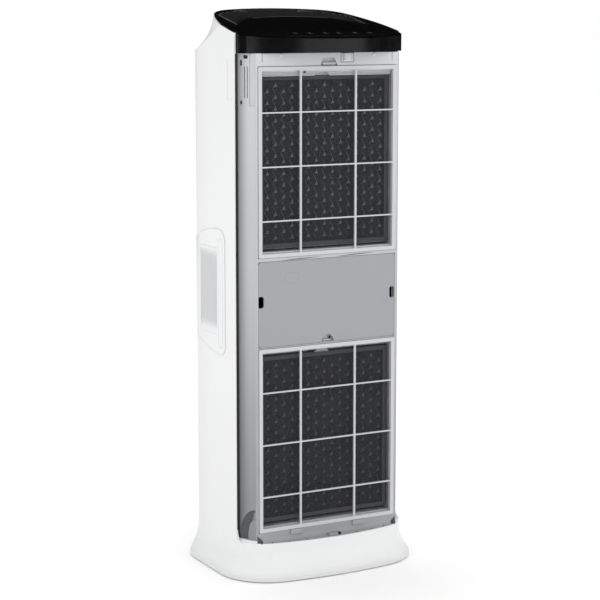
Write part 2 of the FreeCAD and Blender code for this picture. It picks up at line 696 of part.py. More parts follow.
def side_walls():
    """Slanted walls from the casing's edges to the chassis, with sockets for the front cover."""
    low, high = dim("wall_low"), dim("chassis_high")
    wall = Part.makeBox(dim("wall_long") + 3, dim("wall_thick"), high - low, Vector(0, 0, low))
    ledge, long = dim("wall_ledge"), dim("wall_long")
    through, slot_low, slot_high = 10, 899, 955.5
    top_socket = wall_cut(0.44, 10.5, 969.5, 976, through)
    hinge_sockets = [wall_cut(0.18, 4.6, 957, 967, through), wall_cut(0.18, 4.6, 887, 893.5, through)]
    slots = [wall_cut(along, 2.2, slot_low, slot_high, through) for along in (0.39, 0.55)]
    inner_step = wall_cut(0.82 + 1.5 / long, 0.36 * long + 3, ledge, high + 1, 2)
    outer_step = wall_cut(0.14, 0.26 * long, ledge, high + 1, 0.8)
    wall = wall.cut([top_socket] + hinge_sockets + slots + [inner_step, outer_step, finger_scoop()])
    wall.rotate(Vector(0, 0, 0), Vector(0, 0, 1), -dim("wall_lean"))
    wall.translate(Vector(-dim("wall_x"), dim("wall_y"), 0))
    clear = Part.makeBox(60, 100, 1100, Vector(-dim("face_half") - 0.02, -150, 0))
    ahead = Part.makeBox(60, 40, 1100, Vector(-dim("face_half") - 30, dim("face") - 40, 0))
    wall = wall.cut([clear, ahead])
    keep(solid(wall), "side_wall_left")
    keep(solid(mirrored(wall)), "side_wall_right")


def seam_trims():
    """Dark strips between the casing's edges and the slanted walls, lapping the casing's edge."""
    corners = [(168.3, -75.2), (170.8, -75.05), (170.8, -60), (160, -60), (160, -66), (165.8, -74)]
    foot, head = dim("wall_low") + 0.2, dim("chassis_high") - 1
    strip = polygon(corners, foot).extrude(Vector(0, 0, head - foot))
    lap = [(168.3, -76.6), (172.5, -76.6), (172.5, -75.05), (168.3, -75.05)]
    strip = strip.fuse(polygon(lap, 89).extrude(Vector(0, 0, 889)))
    keep(solid(strip), "seam_trim_right")
    keep(solid(mirrored(strip)), "seam_trim_left")


# ---------------------------------------------------------------- filters

def frame_windows():
    """Three columns and four rows of openings in a pre-filter frame."""
    xs = ["-frame_half", "-frame_half + 0.3 * 2 * frame_half",
          "-frame_half + 0.7 * 2 * frame_half", "frame_half"]
    zs = ["frame_tall", "frame_tall - 83", "frame_tall - 182", "frame_tall - 281.5", "0"]
    outlines = []
    for i in range(3):
        left = xs[i] + (" + frame_border" if i == 0 else " + frame_post / 2")
        right = xs[i + 1] + (" - frame_border" if i == 2 else " - frame_post / 2")
        for j in range(4):
            high = zs[j] + (" - frame_border" if j == 0 else " - frame_rail / 2")
            low = zs[j + 1] + (" + frame_border" if j == 3 else " + frame_rail / 2")
            outlines.append(rectangle((left, right), (low, high)))
    return outlines


def prefilter_frame(label, foot):
    """A deep border with shallower posts and rails."""
    outer = rectangle(("-frame_half", "frame_half"), ("0", "frame_tall"))
    inner = rectangle(("-frame_half + frame_border", "frame_half - frame_border"),
                      ("frame_border", "frame_tall - frame_border"))
    rim = rectangle(("-frame_half + frame_border - 1", "frame_half - frame_border + 1"),
                    ("frame_border - 1", "frame_tall - frame_border + 1"))
    body = upright_plate(label, [outer, inner], "frame_thick", "frame_face", foot)
    add_pad(body, [rim] + frame_windows(), "frame_bar_deep")
    round_corners(body, "frame_round")
    return keep(body, label)


def prefilter_mesh(label, foot):
    """Woven dust screen, as a thin sheet behind the frame."""
    sheet_low, sheet_high = "frame_face + frame_thick", "frame_face + frame_thick + 0.4"
    return keep(box(("-bay_half + 1", "bay_half - 1"), (sheet_low, sheet_high),
                    (foot + " + 11", foot + " + frame_tall - 11")), label)


def carbon_filter(kind, foot):
    """A carbon pad in its own dark rim, with a pull tab that stands on the rim."""
    low, high = foot + " + pad_foot", foot + " + pad_foot + pad_tall"
    depth = ("pad_face", "pad_face + pad_thick")
    ring = box(("-pad_half", "pad_half"), depth, (low, high))
    hole = box(("-pad_half + pad_rim", "pad_half - pad_rim"), ("pad_face - 1", "pad_face + pad_thick + 1"),
               (low + " + pad_rim", high + " - pad_rim"))
    keep(cut(ring, [hole]), kind + "_carbon_rim")
    core = box(("-pad_half + pad_rim", "pad_half - pad_rim"), ("pad_face + 1", "pad_face + pad_thick - 1"),
               (low + " + pad_rim", high + " - pad_rim"))
    keep(core, kind + "_carbon_core")
    tab = taper(("-22", "9.6"), ("-14", "3"), ("pad_face", "pad_face + 3"), (high, high + " + tab_tall"))
    keep(tab, kind + "_carbon_tab")


def fine_filter(kind, foot):
    """A pleated fine filter in a stiff border."""
    low, high = foot + " + 12", foot + " + frame_tall - 12"
    y_low, y_high = "pad_face + pad_thick + 2", "pad_face + pad_thick + 2 + hepa_thick"
    ring = box(("-bay_half + 1", "bay_half - 1"), (y_low, y_high), (low, high))
    hole = box(("-bay_half + 5", "bay_half - 5"), ("pad_face", "0"), (low + " + 4", high + " - 4"))
    keep(cut(ring, [hole]), kind + "_hepa_border")
    half = number("bay_half - 5")
    front, rear = number(y_low) + 2, number(y_high) - 2
    count, paper = 42, 1.2
    step = 2 * half / count
    ahead = [(-half + step * i, front if i % 2 == 0 else rear - paper) for i in range(count + 1)]
    behind = [(x, y + paper) for x, y in reversed(ahead)]
    fold = polygon(ahead + behind, number(low + " + 4"))
    pleats = fold.extrude(Vector(0, 0, number("(%s) - (%s) - 8" % (high, low))))
    keep(solid(pleats), kind + "_hepa_pleats")


def side_notch(side):
    """Outline of a finger notch in the cover's side edge, its inner corners rounded."""
    low, high, deep, r, steps = 74, 95.5, 11, 4, 4
    half = dim("frame_half")
    outline = [(half + 1, low)]
    for centre, first in ((low + r, 270), (high - r, 180)):
        for step in range(steps + 1):
            angle = math.radians(first - 90 * step / steps)
            outline.append((half - deep + r + r * math.cos(angle), centre + r * math.sin(angle)))
    outline.append((half + 1, high))
    return [("%g" % (side * x), "%g" % z) for x, z in outline]


def centre_cover():
    """Cover between the bays, with a finger notch at each side and one at its lower edge."""
    outline = rectangle(("-frame_half", "frame_half"), ("0", "cover_high - cover_low"))
    body = upright_plate("centre_cover", [outline], "cover_thick", "face + 0.2", "cover_low")
    round_corners(body, "cover_round")
    steps = 8
    angles = [math.pi * i / steps for i in range(steps + 1)]
    arch = [("%g" % (13 * math.cos(a)), "%g" % (15 * math.sin(a))) for a in angles]
    arch += [("-13", "-1"), ("13", "-1")]
    windows(body, [side_notch(-1), side_notch(1), arch])
    return keep(body, "centre_cover")


# ---------------------------------------------------------------- fans

def scroll_wire(centre, top, level, shrink):
    """Spiral wall that opens upward on the right."""
    start, end = dim("scroll_start"), dim("scroll_end")
    first, last, steps = 62, 360, 12
    spots = []
    for i in range(steps + 1):
        share = i / steps
        angle = math.radians(first + (last - first) * share)
        radius = start + (end - start) * share - shrink
        spots.append(Vector(radius * math.cos(angle), level, centre + radius * math.sin(angle)))
    curve = Part.BSplineCurve()
    curve.interpolate(spots)
    high = top + (5 if shrink else 0)
    right = Vector(end - shrink, level, high)
    left = Vector(dim("scroll_mouth") + shrink, level, high)
    return Part.Wire([curve.toShape(), Part.makeLine(spots[-1], right),
                      Part.makeLine(right, left), Part.makeLine(left, spots[0])])


def fan_housing(label, centre, top):
    wall, front, depth = dim("scroll_wall"), dim("fan_front"), dim("fan_depth")
    axis = Vector(0, 1, 0)
    outer = Part.Face(scroll_wire(centre, top, front, 0)).extrude(Vector(0, depth, 0))
    inner = Part.Face(scroll_wire(centre, top, front + wall, wall)).extrude(Vector(0, depth - 2 * wall, 0))
    mouth = Part.makeCylinder(dim("inlet_radius"), wall + 2, Vector(0, front - 1, centre), axis)
    motor_hole = Part.makeCylinder(dim("motor_radius") + 1, wall + 2,
                                   Vector(0, front + depth - wall - 1, centre), axis)
    return keep(solid(outer.cut(inner).cut([mouth, motor_hole])), label)


def inlet_grille(label, centre):
    """Finger guard over a fan's inlet: rings on spokes."""
    y, thick = dim("fan_front") - 2.6, 2.5
    outer = dim("inlet_radius") + 14
    rings = []
    for radius in (outer, 72, 56, 40, 24):
        tube = Part.makeCylinder(radius, thick, Vector(0, y, centre), Vector(0, 1, 0))
        width = 10 if radius == outer else 2.5
        bore = Part.makeCylinder(radius - width, thick + 2, Vector(0, y - 1, centre), Vector(0, 1, 0))
        rings.append(tube.cut(bore))
    hub = Part.makeCylinder(12, thick, Vector(0, y, centre), Vector(0, 1, 0))
    spokes = []
    for step in range(6):
        spoke = Part.makeBox(outer - 8, thick, 2.5, Vector(4, y, centre - 1.25))
        spoke.rotate(Vector(0, 0, centre), Vector(0, 1, 0), 60 * step)
        spokes.append(spoke)
    return keep(solid(hub.fuse(rings + spokes)), label)


def blade_spot(radius, angle, y, centre):
    return Vector(radius * math.cos(angle), y, centre + radius * math.sin(angle))


def impeller(label, centre):
    """Forward-curved wheel: back plate with a hub, blades and a front ring."""
    radius, depth = dim("wheel_radius"), dim("wheel_depth")
    front = dim("fan_front") + 12
    back = front + depth
    axis = Vector(0, 1, 0)
    plate = Part.makeCylinder(radius, 2, Vector(0, back - 2, centre), axis)
    hub = Part.makeCylinder(14, 24, Vector(0, back - 24, centre), axis)
    bore = Part.makeCylinder(dim("shaft_radius"), 60, Vector(0, back - 40, centre), axis)
    ring = Part.makeCylinder(radius, 4, Vector(0, front, centre), axis)
    ring = ring.cut(Part.makeCylinder(radius - 5, 6, Vector(0, front - 1, centre), axis))
    blades = []
    count = 36
    for step in range(count):
        root, middle, tip = [(radius - r, a) for r, a in ((19, 0), (10, 3.2), (1, 10))]
        spots = []
        for r, a in (root, middle, tip):
            angle = math.radians(a + 360.0 * step / count)
            spots.append((r, angle))
        outer_side = [blade_spot(r, a, front + 1, centre) for r, a in spots]
        inner_side = [blade_spot(r, a + 0.013, front + 1, centre) for r, a in spots]
        wire = Part.Wire([Part.Arc(*outer_side).toShape(), Part.makeLine(outer_side[2], inner_side[2]),
                          Part.Arc(inner_side[2], inner_side[1], inner_side[0]).toShape(),
                          Part.makeLine(inner_side[0], outer_side[0])])
        blades.append(Part.Face(wire).extrude(Vector(0, depth - 2, 0)))
    wheel = plate.fuse([hub, ring] + blades).cut(bore)
    return keep(solid(wheel), label)


def shaft_and_nut(kind, centre):
    back = dim("fan_front") + 12 + dim("wheel_depth")
    axis = Vector(0, 1, 0)
    shaft = Part.makeCylinder(dim("shaft_radius"), 70, Vector(0, back - 32, centre), axis)
    keep(solid(shaft), kind + "_fan_shaft")
    nut = Part.makeCylinder(7, 5, Vector(0, back - 29.2, centre), axis)
    nut = nut.cut(Part.makeCylinder(dim("shaft_radius"), 20, Vector(0, back - 40, centre), axis))
    keep(solid(nut), kind + "_fan_nut")


def fan_motor(kind, centre):
    back = dim("fan_front") + 12 + dim("wheel_depth")
    axis = Vector(0, 1, 0)
    can = Part.makeCylinder(dim("motor_radius"), 40, Vector(0, back + 4, centre), axis)
    rim = [e for e in can.Edges if e.Curve.TypeId == "Part::GeomCircle"]
    can = can.makeFillet(3, rim)
    play = dim("shaft_radius") + dim("shaft_play")
    can = can.cut(Part.makeCylinder(play, 60, Vector(0, back, centre), axis))
    can = can.cut(Part.makeCylinder(play + 4, 6, Vector(0, back + 38.4, centre), axis))
    keep(solid(can), kind + "_fan_motor")
    rear = dim("fan_front") + dim("fan_depth")
    ring = Part.makeCylinder(62, 3, Vector(0, rear, centre), axis)
    ring = ring.cut(Part.makeCylinder(dim("motor_radius") + 0.2, 8, Vector(0, rear - 2, centre), axis))
    holes = []
    screws = []
    for step in range(4):
        angle = math.radians(45 + 90 * step)
        x, z = 52 * math.cos(angle), centre + 52 * math.sin(angle)
        holes.append(Part.makeCylinder(2.3, 8, Vector(x, rear - 2, z), axis))
        screw = Part.makeCylinder(2.1, 3, Vector(x, rear, z), axis)
        screws.append(screw.fuse(Part.makeCylinder(4, 2.5, Vector(x, rear + 3, z), axis)))
    keep(solid(ring.cut(holes)), kind + "_motor_mount")
    return screws


# ---------------------------------------------------------------- inside the column

def duct_ring(x_span, y_span, level, inset):
    """One end of the outlet duct: a level rectangle, drawn in by a wall for the inner side."""
    x0, x1 = x_span[0] + inset, x_span[1] - inset
    y0, y1 = y_span[0] + inset, y_span[1] - inset
    corners = [(x0, y0), (x1, y0), (x1, y1), (x0, y1), (x0, y0)]
    return Part.makePolygon([Vector(x, y, level) for x, y in corners])


def outlet_duct():
    """Duct that widens from the upper fan's mouth to the air outlet; its bore runs past both ends."""
    mouth_x, mouth_y, mouth_level = (42, 158), (-20, 70), 938
    outlet_x, outlet_y, outlet_level = (-128, 128), (-20, 84), 1018
    wall, past = 2, 1
    outer = Part.makeLoft([duct_ring(mouth_x, mouth_y, mouth_level, 0),
                           duct_ring(outlet_x, outlet_y, outlet_level, 0)], True, True)
    inner = Part.makeLoft([duct_ring(mouth_x, mouth_y, mouth_level - past, wall),
                           duct_ring(outlet_x, outlet_y, outlet_level + past, wall)], True, True)
    keep(solid(outer.cut(inner)), "outlet_duct")


def fan_partition():
    """Level wall between the two fan chambers."""
    keep(box(("-168", "168"), ("-26", "84"), ("632", "635")), "fan_partition")


def electronics():
    keep(box(("-130", "130"), ("-110", "-48"), ("995", "996.6")), "control_board")
    keep(box(("-80", "80"), ("118", "120"), ("440", "600")), "power_board")
    keep(box(("-60", "-20"), ("96", "117.9"), ("520", "580")), "power_transformer")
    socket = box(("-94.8", "-65.2"), ("123", "149.6"), ("84.2", "107.8"))
    well = box(("-91.8", "-68.2"), ("128.5", "152"), ("87.2", "104.8"))
    keep(cut(socket, [well]), "power_inlet")
    pins = [rod("1.2", x, ("128.5", "144"), "96") for x in ("-84", "-76")]
    keep(fuse(pins), "inlet_pins")
    sensor = box(("-170.8", "-150"), ("-55", "-25"), ("893", "965"))
    keep(sensor, "air_quality_sensor")


def side_profile(grow):
    """Side view of a vent surround: rounded in front, tapering to the rear in two long arcs."""
    y0, y1 = dim("vent_front") - grow, dim("column_rear") - 26 + grow
    low, rear_low, high = dim("vent_low") - grow, dim("vent_rear_low") - grow, dim("vent_high") + grow
    r = 24 + grow
    tip = 12 + grow
    edges = []
    a = Vector(0, y0, high - r)
    b = Vector(0, y0 + r, high)
    sag = r * (1 - math.sqrt(0.5))
    edges.append(Part.Arc(a, Vector(0, y0 + sag, high - sag), b).toShape())
    c, d = Vector(0, y1, high - 46), Vector(0, y1, rear_low)
    e = Vector(0, y0 + 2 * tip, low)
    g = Vector(0, y0, low + 2 * tip)
    edges.append(Part.Arc(b, Vector(0, 52, high - 7), c).toShape())
    edges.append(Part.makeLine(c, d))
    edges.append(Part.Arc(d, Vector(0, 52, low + 11), e).toShape())
    edges.append(Part.Arc(e, Vector(0, y0 + tip * 0.5, low + tip * 0.45), g).toShape())
    edges.append(Part.makeLine(g, a))
    return Part.Face(Part.Wire(edges))


def side_vent(side, word):
    """Surround that stands slightly proud of the casing, with upright slats in a window."""
    proud = dim("vent_proud")
    outer = Part.Face(column_wire(-proud, 400, -70)).extrude(Vector(0, 0, 280))
    inner = Part.Face(column_wire(0, 399, -80)).extrude(Vector(0, 0, 282))
    skin = outer.cut(inner)
    zone = side_profile(0).extrude(Vector(side * 220, 0, 0))
    surround = skin.common(zone)
    x_low = min(side * (dim("column_half") - 6), side * (dim("column_half") + 6))
    window = Part.makeBox(12, 72, 166, Vector(x_low, 2, 449))
    keep(solid(surround.cut(window)), "side_vent_surround_" + word)
    x_in, x_out = dim("column_half") - dim("wall"), dim("column_half") + proud - 0.3
    slats = []
    for step in range(15):
        y = 3.2 + 4.9 * step
        slats.append(Part.makeBox(x_out - x_in, 1.6, 166, Vector(x_in, y, 449)))
    backing = Part.makeBox(2.0, 76, 170, Vector(x_in - 2.0, 0, 447))
    grille = backing.fuse(slats)
    if side < 0:
        grille = mirrored(grille)
    keep(solid(grille), "side_vent_grille_" + word)


def latches():
    """Spring catches of the front cover: one over the upper bay, one on the ledge."""
    keep(box(("-12.5", "15"), ("face - 1", "face + 5.6"), ("957.2", "961.4")), "top_latch")
    base = box(("27", "53"), ("face - 0.4", "face + 6"), ("961.8", "978.4"))
    knob = box(("32", "47"), ("face - 2.6", "face - 0.4"), ("965", "978.4"))
    keep(fuse([base, knob]), "cover_switch")
    keep(box(("-6", "18"), ("face - 20", "face - 9"), ("69.1", "73.4")), "bottom_latch")
    depth = ("face - 3.4", "face - 0.02")
    tabs = [box((x + " - 13", x + " + 13"), depth, ("78", "87")) for x in ("-67", "67")]
    keep(fuse(tabs), "bottom_tabs")
    keep(box(("-7", "7"), ("face + 4.2", "face + 6.8"), ("cover_low + 2", "cover_low + 5")), "cover_catch")


def build():
    outer_shell()
    base_tray()
    rubber_feet()
    lip_shelf()
    head_cap()
    control_glass()
    outlet_slats()
    front_chassis()
    side_walls()
    seam_trims()
    side_vent(-1, "left")
    side_vent(1, "right")
    screws = []
    stacks = (("lower", "lower_frame", "lower_fan", 415), ("upper", "upper_frame", "upper_fan", 936))
    for kind, foot, fan, top in stacks:
        prefilter_frame(kind + "_prefilter_frame", foot)
        prefilter_mesh(kind + "_prefilter_mesh", foot)
        carbon_filter(kind, foot)
        fine_filter(kind, foot)
        fan_housing(kind + "_fan_housing", dim(fan), top)
        inlet_grille(kind + "_inlet_grille", dim(fan))
        impeller(kind + "_impeller", dim(fan))
        shaft_and_nut(kind, dim(fan))
        screws += fan_motor(kind, dim(fan))
    keep(solid(Part.makeCompound(screws)), "motor_screws")
    centre_cover()
    fan_partition()
    outlet_duct()
    electronics()
    latches()


def check_and_write():
    doc.recompute()
    for item in doc.Objects:
        if "Invalid" in item.State or "Error" in item.State:
            raise RuntimeError("%s is in state %s" % (item.Label, item.State))
    os.makedirs("parts", exist_ok=True)
    for item in parts:
        if item.Shape.isNull() or not item.Shape.isValid():
            raise RuntimeError("%s has no valid shape" % item.Label)
        item.Shape.exportStep("parts/%s.step" % item.Label)
        size = item.Shape.BoundBox
        print("%-28s solids %2d  x %7.1f %7.1f  y %7.1f %7.1f  z %7.1f %7.1f" % (
            item.Label, len(item.Shape.Solids), size.XMin, size.XMax, size.YMin, size.YMax,
            size.ZMin, size.ZMax))


build()
check_and_write()
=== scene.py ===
"""Looks of a two-fan air purifier tower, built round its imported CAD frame."""

import json
import math

import bmesh
import bpy
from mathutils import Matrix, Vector


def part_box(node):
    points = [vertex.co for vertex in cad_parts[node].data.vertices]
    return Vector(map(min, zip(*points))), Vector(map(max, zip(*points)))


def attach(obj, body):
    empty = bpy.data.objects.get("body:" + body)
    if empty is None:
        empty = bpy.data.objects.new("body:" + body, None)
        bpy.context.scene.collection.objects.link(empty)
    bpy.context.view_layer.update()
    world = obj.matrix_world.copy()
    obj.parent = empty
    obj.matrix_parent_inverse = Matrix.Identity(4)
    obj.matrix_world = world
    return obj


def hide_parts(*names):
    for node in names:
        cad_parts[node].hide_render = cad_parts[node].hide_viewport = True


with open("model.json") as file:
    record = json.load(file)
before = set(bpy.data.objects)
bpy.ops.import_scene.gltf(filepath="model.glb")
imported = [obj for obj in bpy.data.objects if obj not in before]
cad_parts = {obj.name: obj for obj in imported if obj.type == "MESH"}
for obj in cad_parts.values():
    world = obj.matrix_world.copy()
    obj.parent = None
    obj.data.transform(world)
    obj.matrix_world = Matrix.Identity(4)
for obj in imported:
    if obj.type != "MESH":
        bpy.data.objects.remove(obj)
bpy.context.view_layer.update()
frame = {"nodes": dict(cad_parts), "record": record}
NODES = frame["nodes"]
MM = 0.001
WELD = 0.00001
STACKS = ("lower", "upper")
SIDES = (("left", -1), ("right", 1))


# ------------------------------------------------------------------ camera, light and floor

def make_camera():
    """A long lens in front of the left corner, tilted down, with a small shift."""
    tilt, turn = 8.179, 28.059
    data = bpy.data.cameras.new("camera")
    data.sensor_width = 36
    data.lens = 108.74
    data.shift_y = -0.05
    camera = bpy.data.objects.new("camera", data)
    camera.location = (-1.6227, -3.0463, 1.0574)
    camera.rotation_euler = (math.radians(90 - tilt), 0, math.radians(-turn))
    bpy.context.scene.collection.objects.link(camera)
    bpy.context.scene.camera = camera


def area_light(name, place, aim, size, power, reflected=True, lighting=True):
    """A rectangular lamp that looks at a spot; it may be left out of reflections or of the light."""
    data = bpy.data.lights.new(name, "AREA")
    data.shape = "RECTANGLE"
    data.size, data.size_y = size
    data.energy = power
    lamp = bpy.data.objects.new(name, data)
    lamp.location = place
    lamp.visible_glossy = reflected
    lamp.visible_diffuse = lighting
    lamp.rotation_euler = (Vector(aim) - Vector(place)).to_track_quat("-Z", "Y").to_euler()
    bpy.context.scene.collection.objects.link(lamp)


def make_world():
    """White to the eye and even as fill light, but dim in reflections, as between black flags."""
    strengths = {"seen": 1.0, "fill": 1.08, "reflected": 0.012}
    world = bpy.data.worlds.new("studio")
    world.use_nodes = True
    tree = world.node_tree
    tree.nodes.clear()
    shaders = {}
    for use, strength in strengths.items():
        shaders[use] = tree.nodes.new("ShaderNodeBackground")
        shaders[use].inputs["Color"].default_value = (1, 1, 1, 1)
        shaders[use].inputs["Strength"].default_value = strength
    path = tree.nodes.new("ShaderNodeLightPath")
    gloss = tree.nodes.new("ShaderNodeMixShader")
    eye = tree.nodes.new("ShaderNodeMixShader")
    out = tree.nodes.new("ShaderNodeOutputWorld")
    tree.links.new(path.outputs["Is Glossy Ray"], gloss.inputs[0])
    tree.links.new(shaders["fill"].outputs[0], gloss.inputs[1])
    tree.links.new(shaders["reflected"].outputs[0], gloss.inputs[2])
    tree.links.new(path.outputs["Is Camera Ray"], eye.inputs[0])
    tree.links.new(gloss.outputs[0], eye.inputs[1])
    tree.links.new(shaders["seen"].outputs[0], eye.inputs[2])
    tree.links.new(eye.outputs[0], out.inputs["Surface"])
    bpy.context.scene.world = world


def make_lights():
    """Broad soft boxes; two strips in front serve only as reflections in the head's band."""
    middle, band = (0, 0, 0.55), (0, -0.15, 1.0)
    area_light("front_softbox", (0.3, -3.2, 2.9), middle, (2.2, 1.2), 7)
    area_light("left_softbox", (-3.2, -0.9, 2.4), middle, (2.0, 2.0), 4, reflected=False)
    area_light("right_softbox", (3.2, -0.8, 2.0), middle, (1.8, 2.0), 4, reflected=False)
    area_light("rear_softbox", (0.4, 3.2, 2.2), middle, (2.4, 1.8), 4, reflected=False)
    area_light("band_strip", (1.2, -2.6, 0.9), band, (2.9, 0.9), 19, lighting=False)
    area_light("corner_strip", (-1.7, -2.1, 0.9), band, (0.10, 0.9), 3, lighting=False)
    make_world()


def make_floor(material):
    """A wide pale floor under the tower."""
    reach = 14
    corners = [(-reach, -reach, 0), (reach, -reach, 0), (reach, reach, 0), (-reach, reach, 0)]
    mesh = bpy.data.meshes.new("floor")
    mesh.from_pydata(corners, [], [(0, 1, 2, 3)])
    floor = bpy.data.objects.new("floor", mesh)
    mesh.materials.append(material)
    bpy.context.scene.collection.objects.link(floor)


# ------------------------------------------------------------------ shader nodes

def new_material(name, colour, roughness, metallic=0.0):
    """A Principled material with plain values on its shader; returns it with its tree and shader."""
    material = bpy.data.materials.new(name)
    material.use_nodes = True
    shader = material.node_tree.nodes["Principled BSDF"]
    shader.inputs["Base Color"].default_value = (*colour, 1)
    shader.inputs["Roughness"].default_value = roughness
    shader.inputs["Metallic"].default_value = metallic
    return material, material.node_tree, shader


def mapped(tree, stretch=(1, 1, 1)):
    """Object coordinates, stretched; they are metres in the shared frame."""
    place = tree.nodes.new("ShaderNodeTexCoord")
    mapping = tree.nodes.new("ShaderNodeMapping")
    mapping.inputs["Scale"].default_value = stretch
    tree.links.new(place.outputs["Object"], mapping.inputs["Vector"])
    return mapping.outputs["Vector"]


def axes(tree):
    """Object coordinates, one socket for each axis."""
    place = tree.nodes.new("ShaderNodeTexCoord")
    split = tree.nodes.new("ShaderNodeSeparateXYZ")
    tree.links.new(place.outputs["Object"], split.inputs[0])
    return split.outputs


def noise(tree, scale, detail=2.0, stretch=(1, 1, 1)):
    """A noise texture's value, from 0 to 1."""
    texture = tree.nodes.new("ShaderNodeTexNoise")
    texture.inputs["Scale"].default_value = scale
    texture.inputs["Detail"].default_value = detail
    tree.links.new(mapped(tree, stretch), texture.inputs["Vector"])
    return texture.outputs["Fac"]


def grey(value):
    """A colour with three equal parts."""
    return (value, value, value)


def shade(colour, factor):
    """A colour made lighter or darker."""
    return tuple(min(1.0, c * factor) for c in colour)


def ramp(tree, value, low, high, start=0.3, end=0.7):
    """Two colours spread over a texture's value."""
    made = tree.nodes.new("ShaderNodeValToRGB")
    first, last = made.color_ramp.elements
    first.position, last.position = start, end
    first.color = (*low, 1)
    last.color = (*high, 1)
    tree.links.new(value, made.inputs["Fac"])
    return made.outputs["Color"]


def add_bump(tree, shader, height, strength, distance):
    """Fine relief from a texture's value; the distance is in metres."""
    bump = tree.nodes.new("ShaderNodeBump")
    bump.inputs["Strength"].default_value = strength
    bump.inputs["Distance"].default_value = distance
    tree.links.new(height, bump.inputs["Height"])
    tree.links.new(bump.outputs["Normal"], shader.inputs["Normal"])


def calc(tree, operation, first, second=0):
    """A maths node on a socket and a socket or a number."""
    made = tree.nodes.new("ShaderNodeMath")
    made.operation = operation
    tree.links.new(first, made.inputs[0])
    if isinstance(second, (int, float)):
        made.inputs[1].default_value = second
    else:
        tree.links.new(second, made.inputs[1])
    return made.outputs[0]


def spread_over(tree, value, start, end, low, high):
    """A value's span from start to end turned smoothly into low to high."""
    made = tree.nodes.new("ShaderNodeMapRange")
    made.interpolation_type = "SMOOTHSTEP"
    for socket, number in (("From Min", start), ("From Max", end), ("To Min", low), ("To Max", high)):
        made.inputs[socket].default_value = number
    tree.links.new(value, made.inputs["Value"])
    return made.outputs["Result"]


def graded(material, factor):
    """Multiply a material's tint by a socket's value."""
    tree = material.node_tree
    shader = tree.nodes["Principled BSDF"]
    tint = shader.inputs["Base Color"].links[0].from_socket
    scaled = tree.nodes.new("ShaderNodeVectorMath")
    scaled.operation = "SCALE"
    tree.links.new(tint, scaled.inputs[0])
    tree.links.new(factor, scaled.inputs["Scale"])
    tree.links.new(scaled.outputs[0], shader.inputs["Base Color"])
    return material


# ------------------------------------------------------------------ finishes

def moulded(name, colour, roughness, grain=900, depth=0.00003, spread=0.04, level=0.5):
    """Moulded plastic: fine spark texture, faint mottling and uneven gloss."""
    material, tree, shader = new_material(name, colour, roughness)
    shader.inputs["Specular IOR Level"].default_value = level
    tint = ramp(tree, noise(tree, 7, 3), shade(colour, 1 - spread), shade(colour, 1 + spread))
    tree.links.new(tint, shader.inputs["Base Color"])
    gloss = ramp(tree, noise(tree, 40, 3), grey(roughness * 0.88), grey(min(1, roughness * 1.12)))
    tree.links.new(gloss, shader.inputs["Roughness"])
    add_bump(tree, shader, noise(tree, grain, 2), 0.35, depth)
    return material


def polished(name, colour, roughness, level=0.5, spread=0.03, wave=0.12):
    """Polished moulding with a barely uneven skin."""
    material, tree, shader = new_material(name, colour, roughness)
    shader.inputs["Specular IOR Level"].default_value = level
    tint = ramp(tree, noise(tree, 5, 2), shade(colour, 1 - spread), shade(colour, 1 + spread))
    tree.links.new(tint, shader.inputs["Base Color"])
    gloss = ramp(tree, noise(tree, 60, 4), grey(roughness * 0.85), grey(roughness * 1.2))
    tree.links.new(gloss, shader.inputs["Roughness"])
    add_bump(tree, shader, noise(tree, 14, 1), wave, 0.0001)
    return material


def brushed(name, colour, roughness, stretch=(4, 4, 220), metallic=1.0):
    """Metal with fine drawn lines."""
    material, tree, shader = new_material(name, colour, roughness, metallic)
    lines = noise(tree, 30, 4, stretch)
    tint = ramp(tree, lines, shade(colour, 0.8), shade(colour, 1.12))
    tree.links.new(tint, shader.inputs["Base Color"])
    gloss = ramp(tree, lines, grey(roughness * 0.7), grey(roughness * 1.3))
    tree.links.new(gloss, shader.inputs["Roughness"])
    add_bump(tree, shader, lines, 0.2, 0.00003)
    return material


def granular(name, colour, light):
    """Packed granules with a few bright grains."""
    material, tree, shader = new_material(name, colour, 0.6)
    shader.inputs["Specular IOR Level"].default_value = 0.15
    cells = tree.nodes.new("ShaderNodeTexVoronoi")
    cells.inputs["Scale"].default_value = 520
    tree.links.new(mapped(tree), cells.inputs["Vector"])
    tint = ramp(tree, cells.outputs["Distance"], colour, light, 0.15, 0.95)
    tree.links.new(tint, shader.inputs["Base Color"])
    add_bump(tree, shader, cells.outputs["Distance"], 0.5, 0.0005)
    return material


def pleated_paper(name, colour):
    """Glass-fibre paper: soft, with fine fibres across the folds."""
    material, tree, shader = new_material(name, colour, 0.9)
    fibres = noise(tree, 120, 6, (1, 1, 5))
    tint = ramp(tree, fibres, shade(colour, 0.9), shade(colour, 1.05))
    tree.links.new(tint, shader.inputs["Base Color"])
    add_bump(tree, shader, fibres, 0.4, 0.0002)
    return material


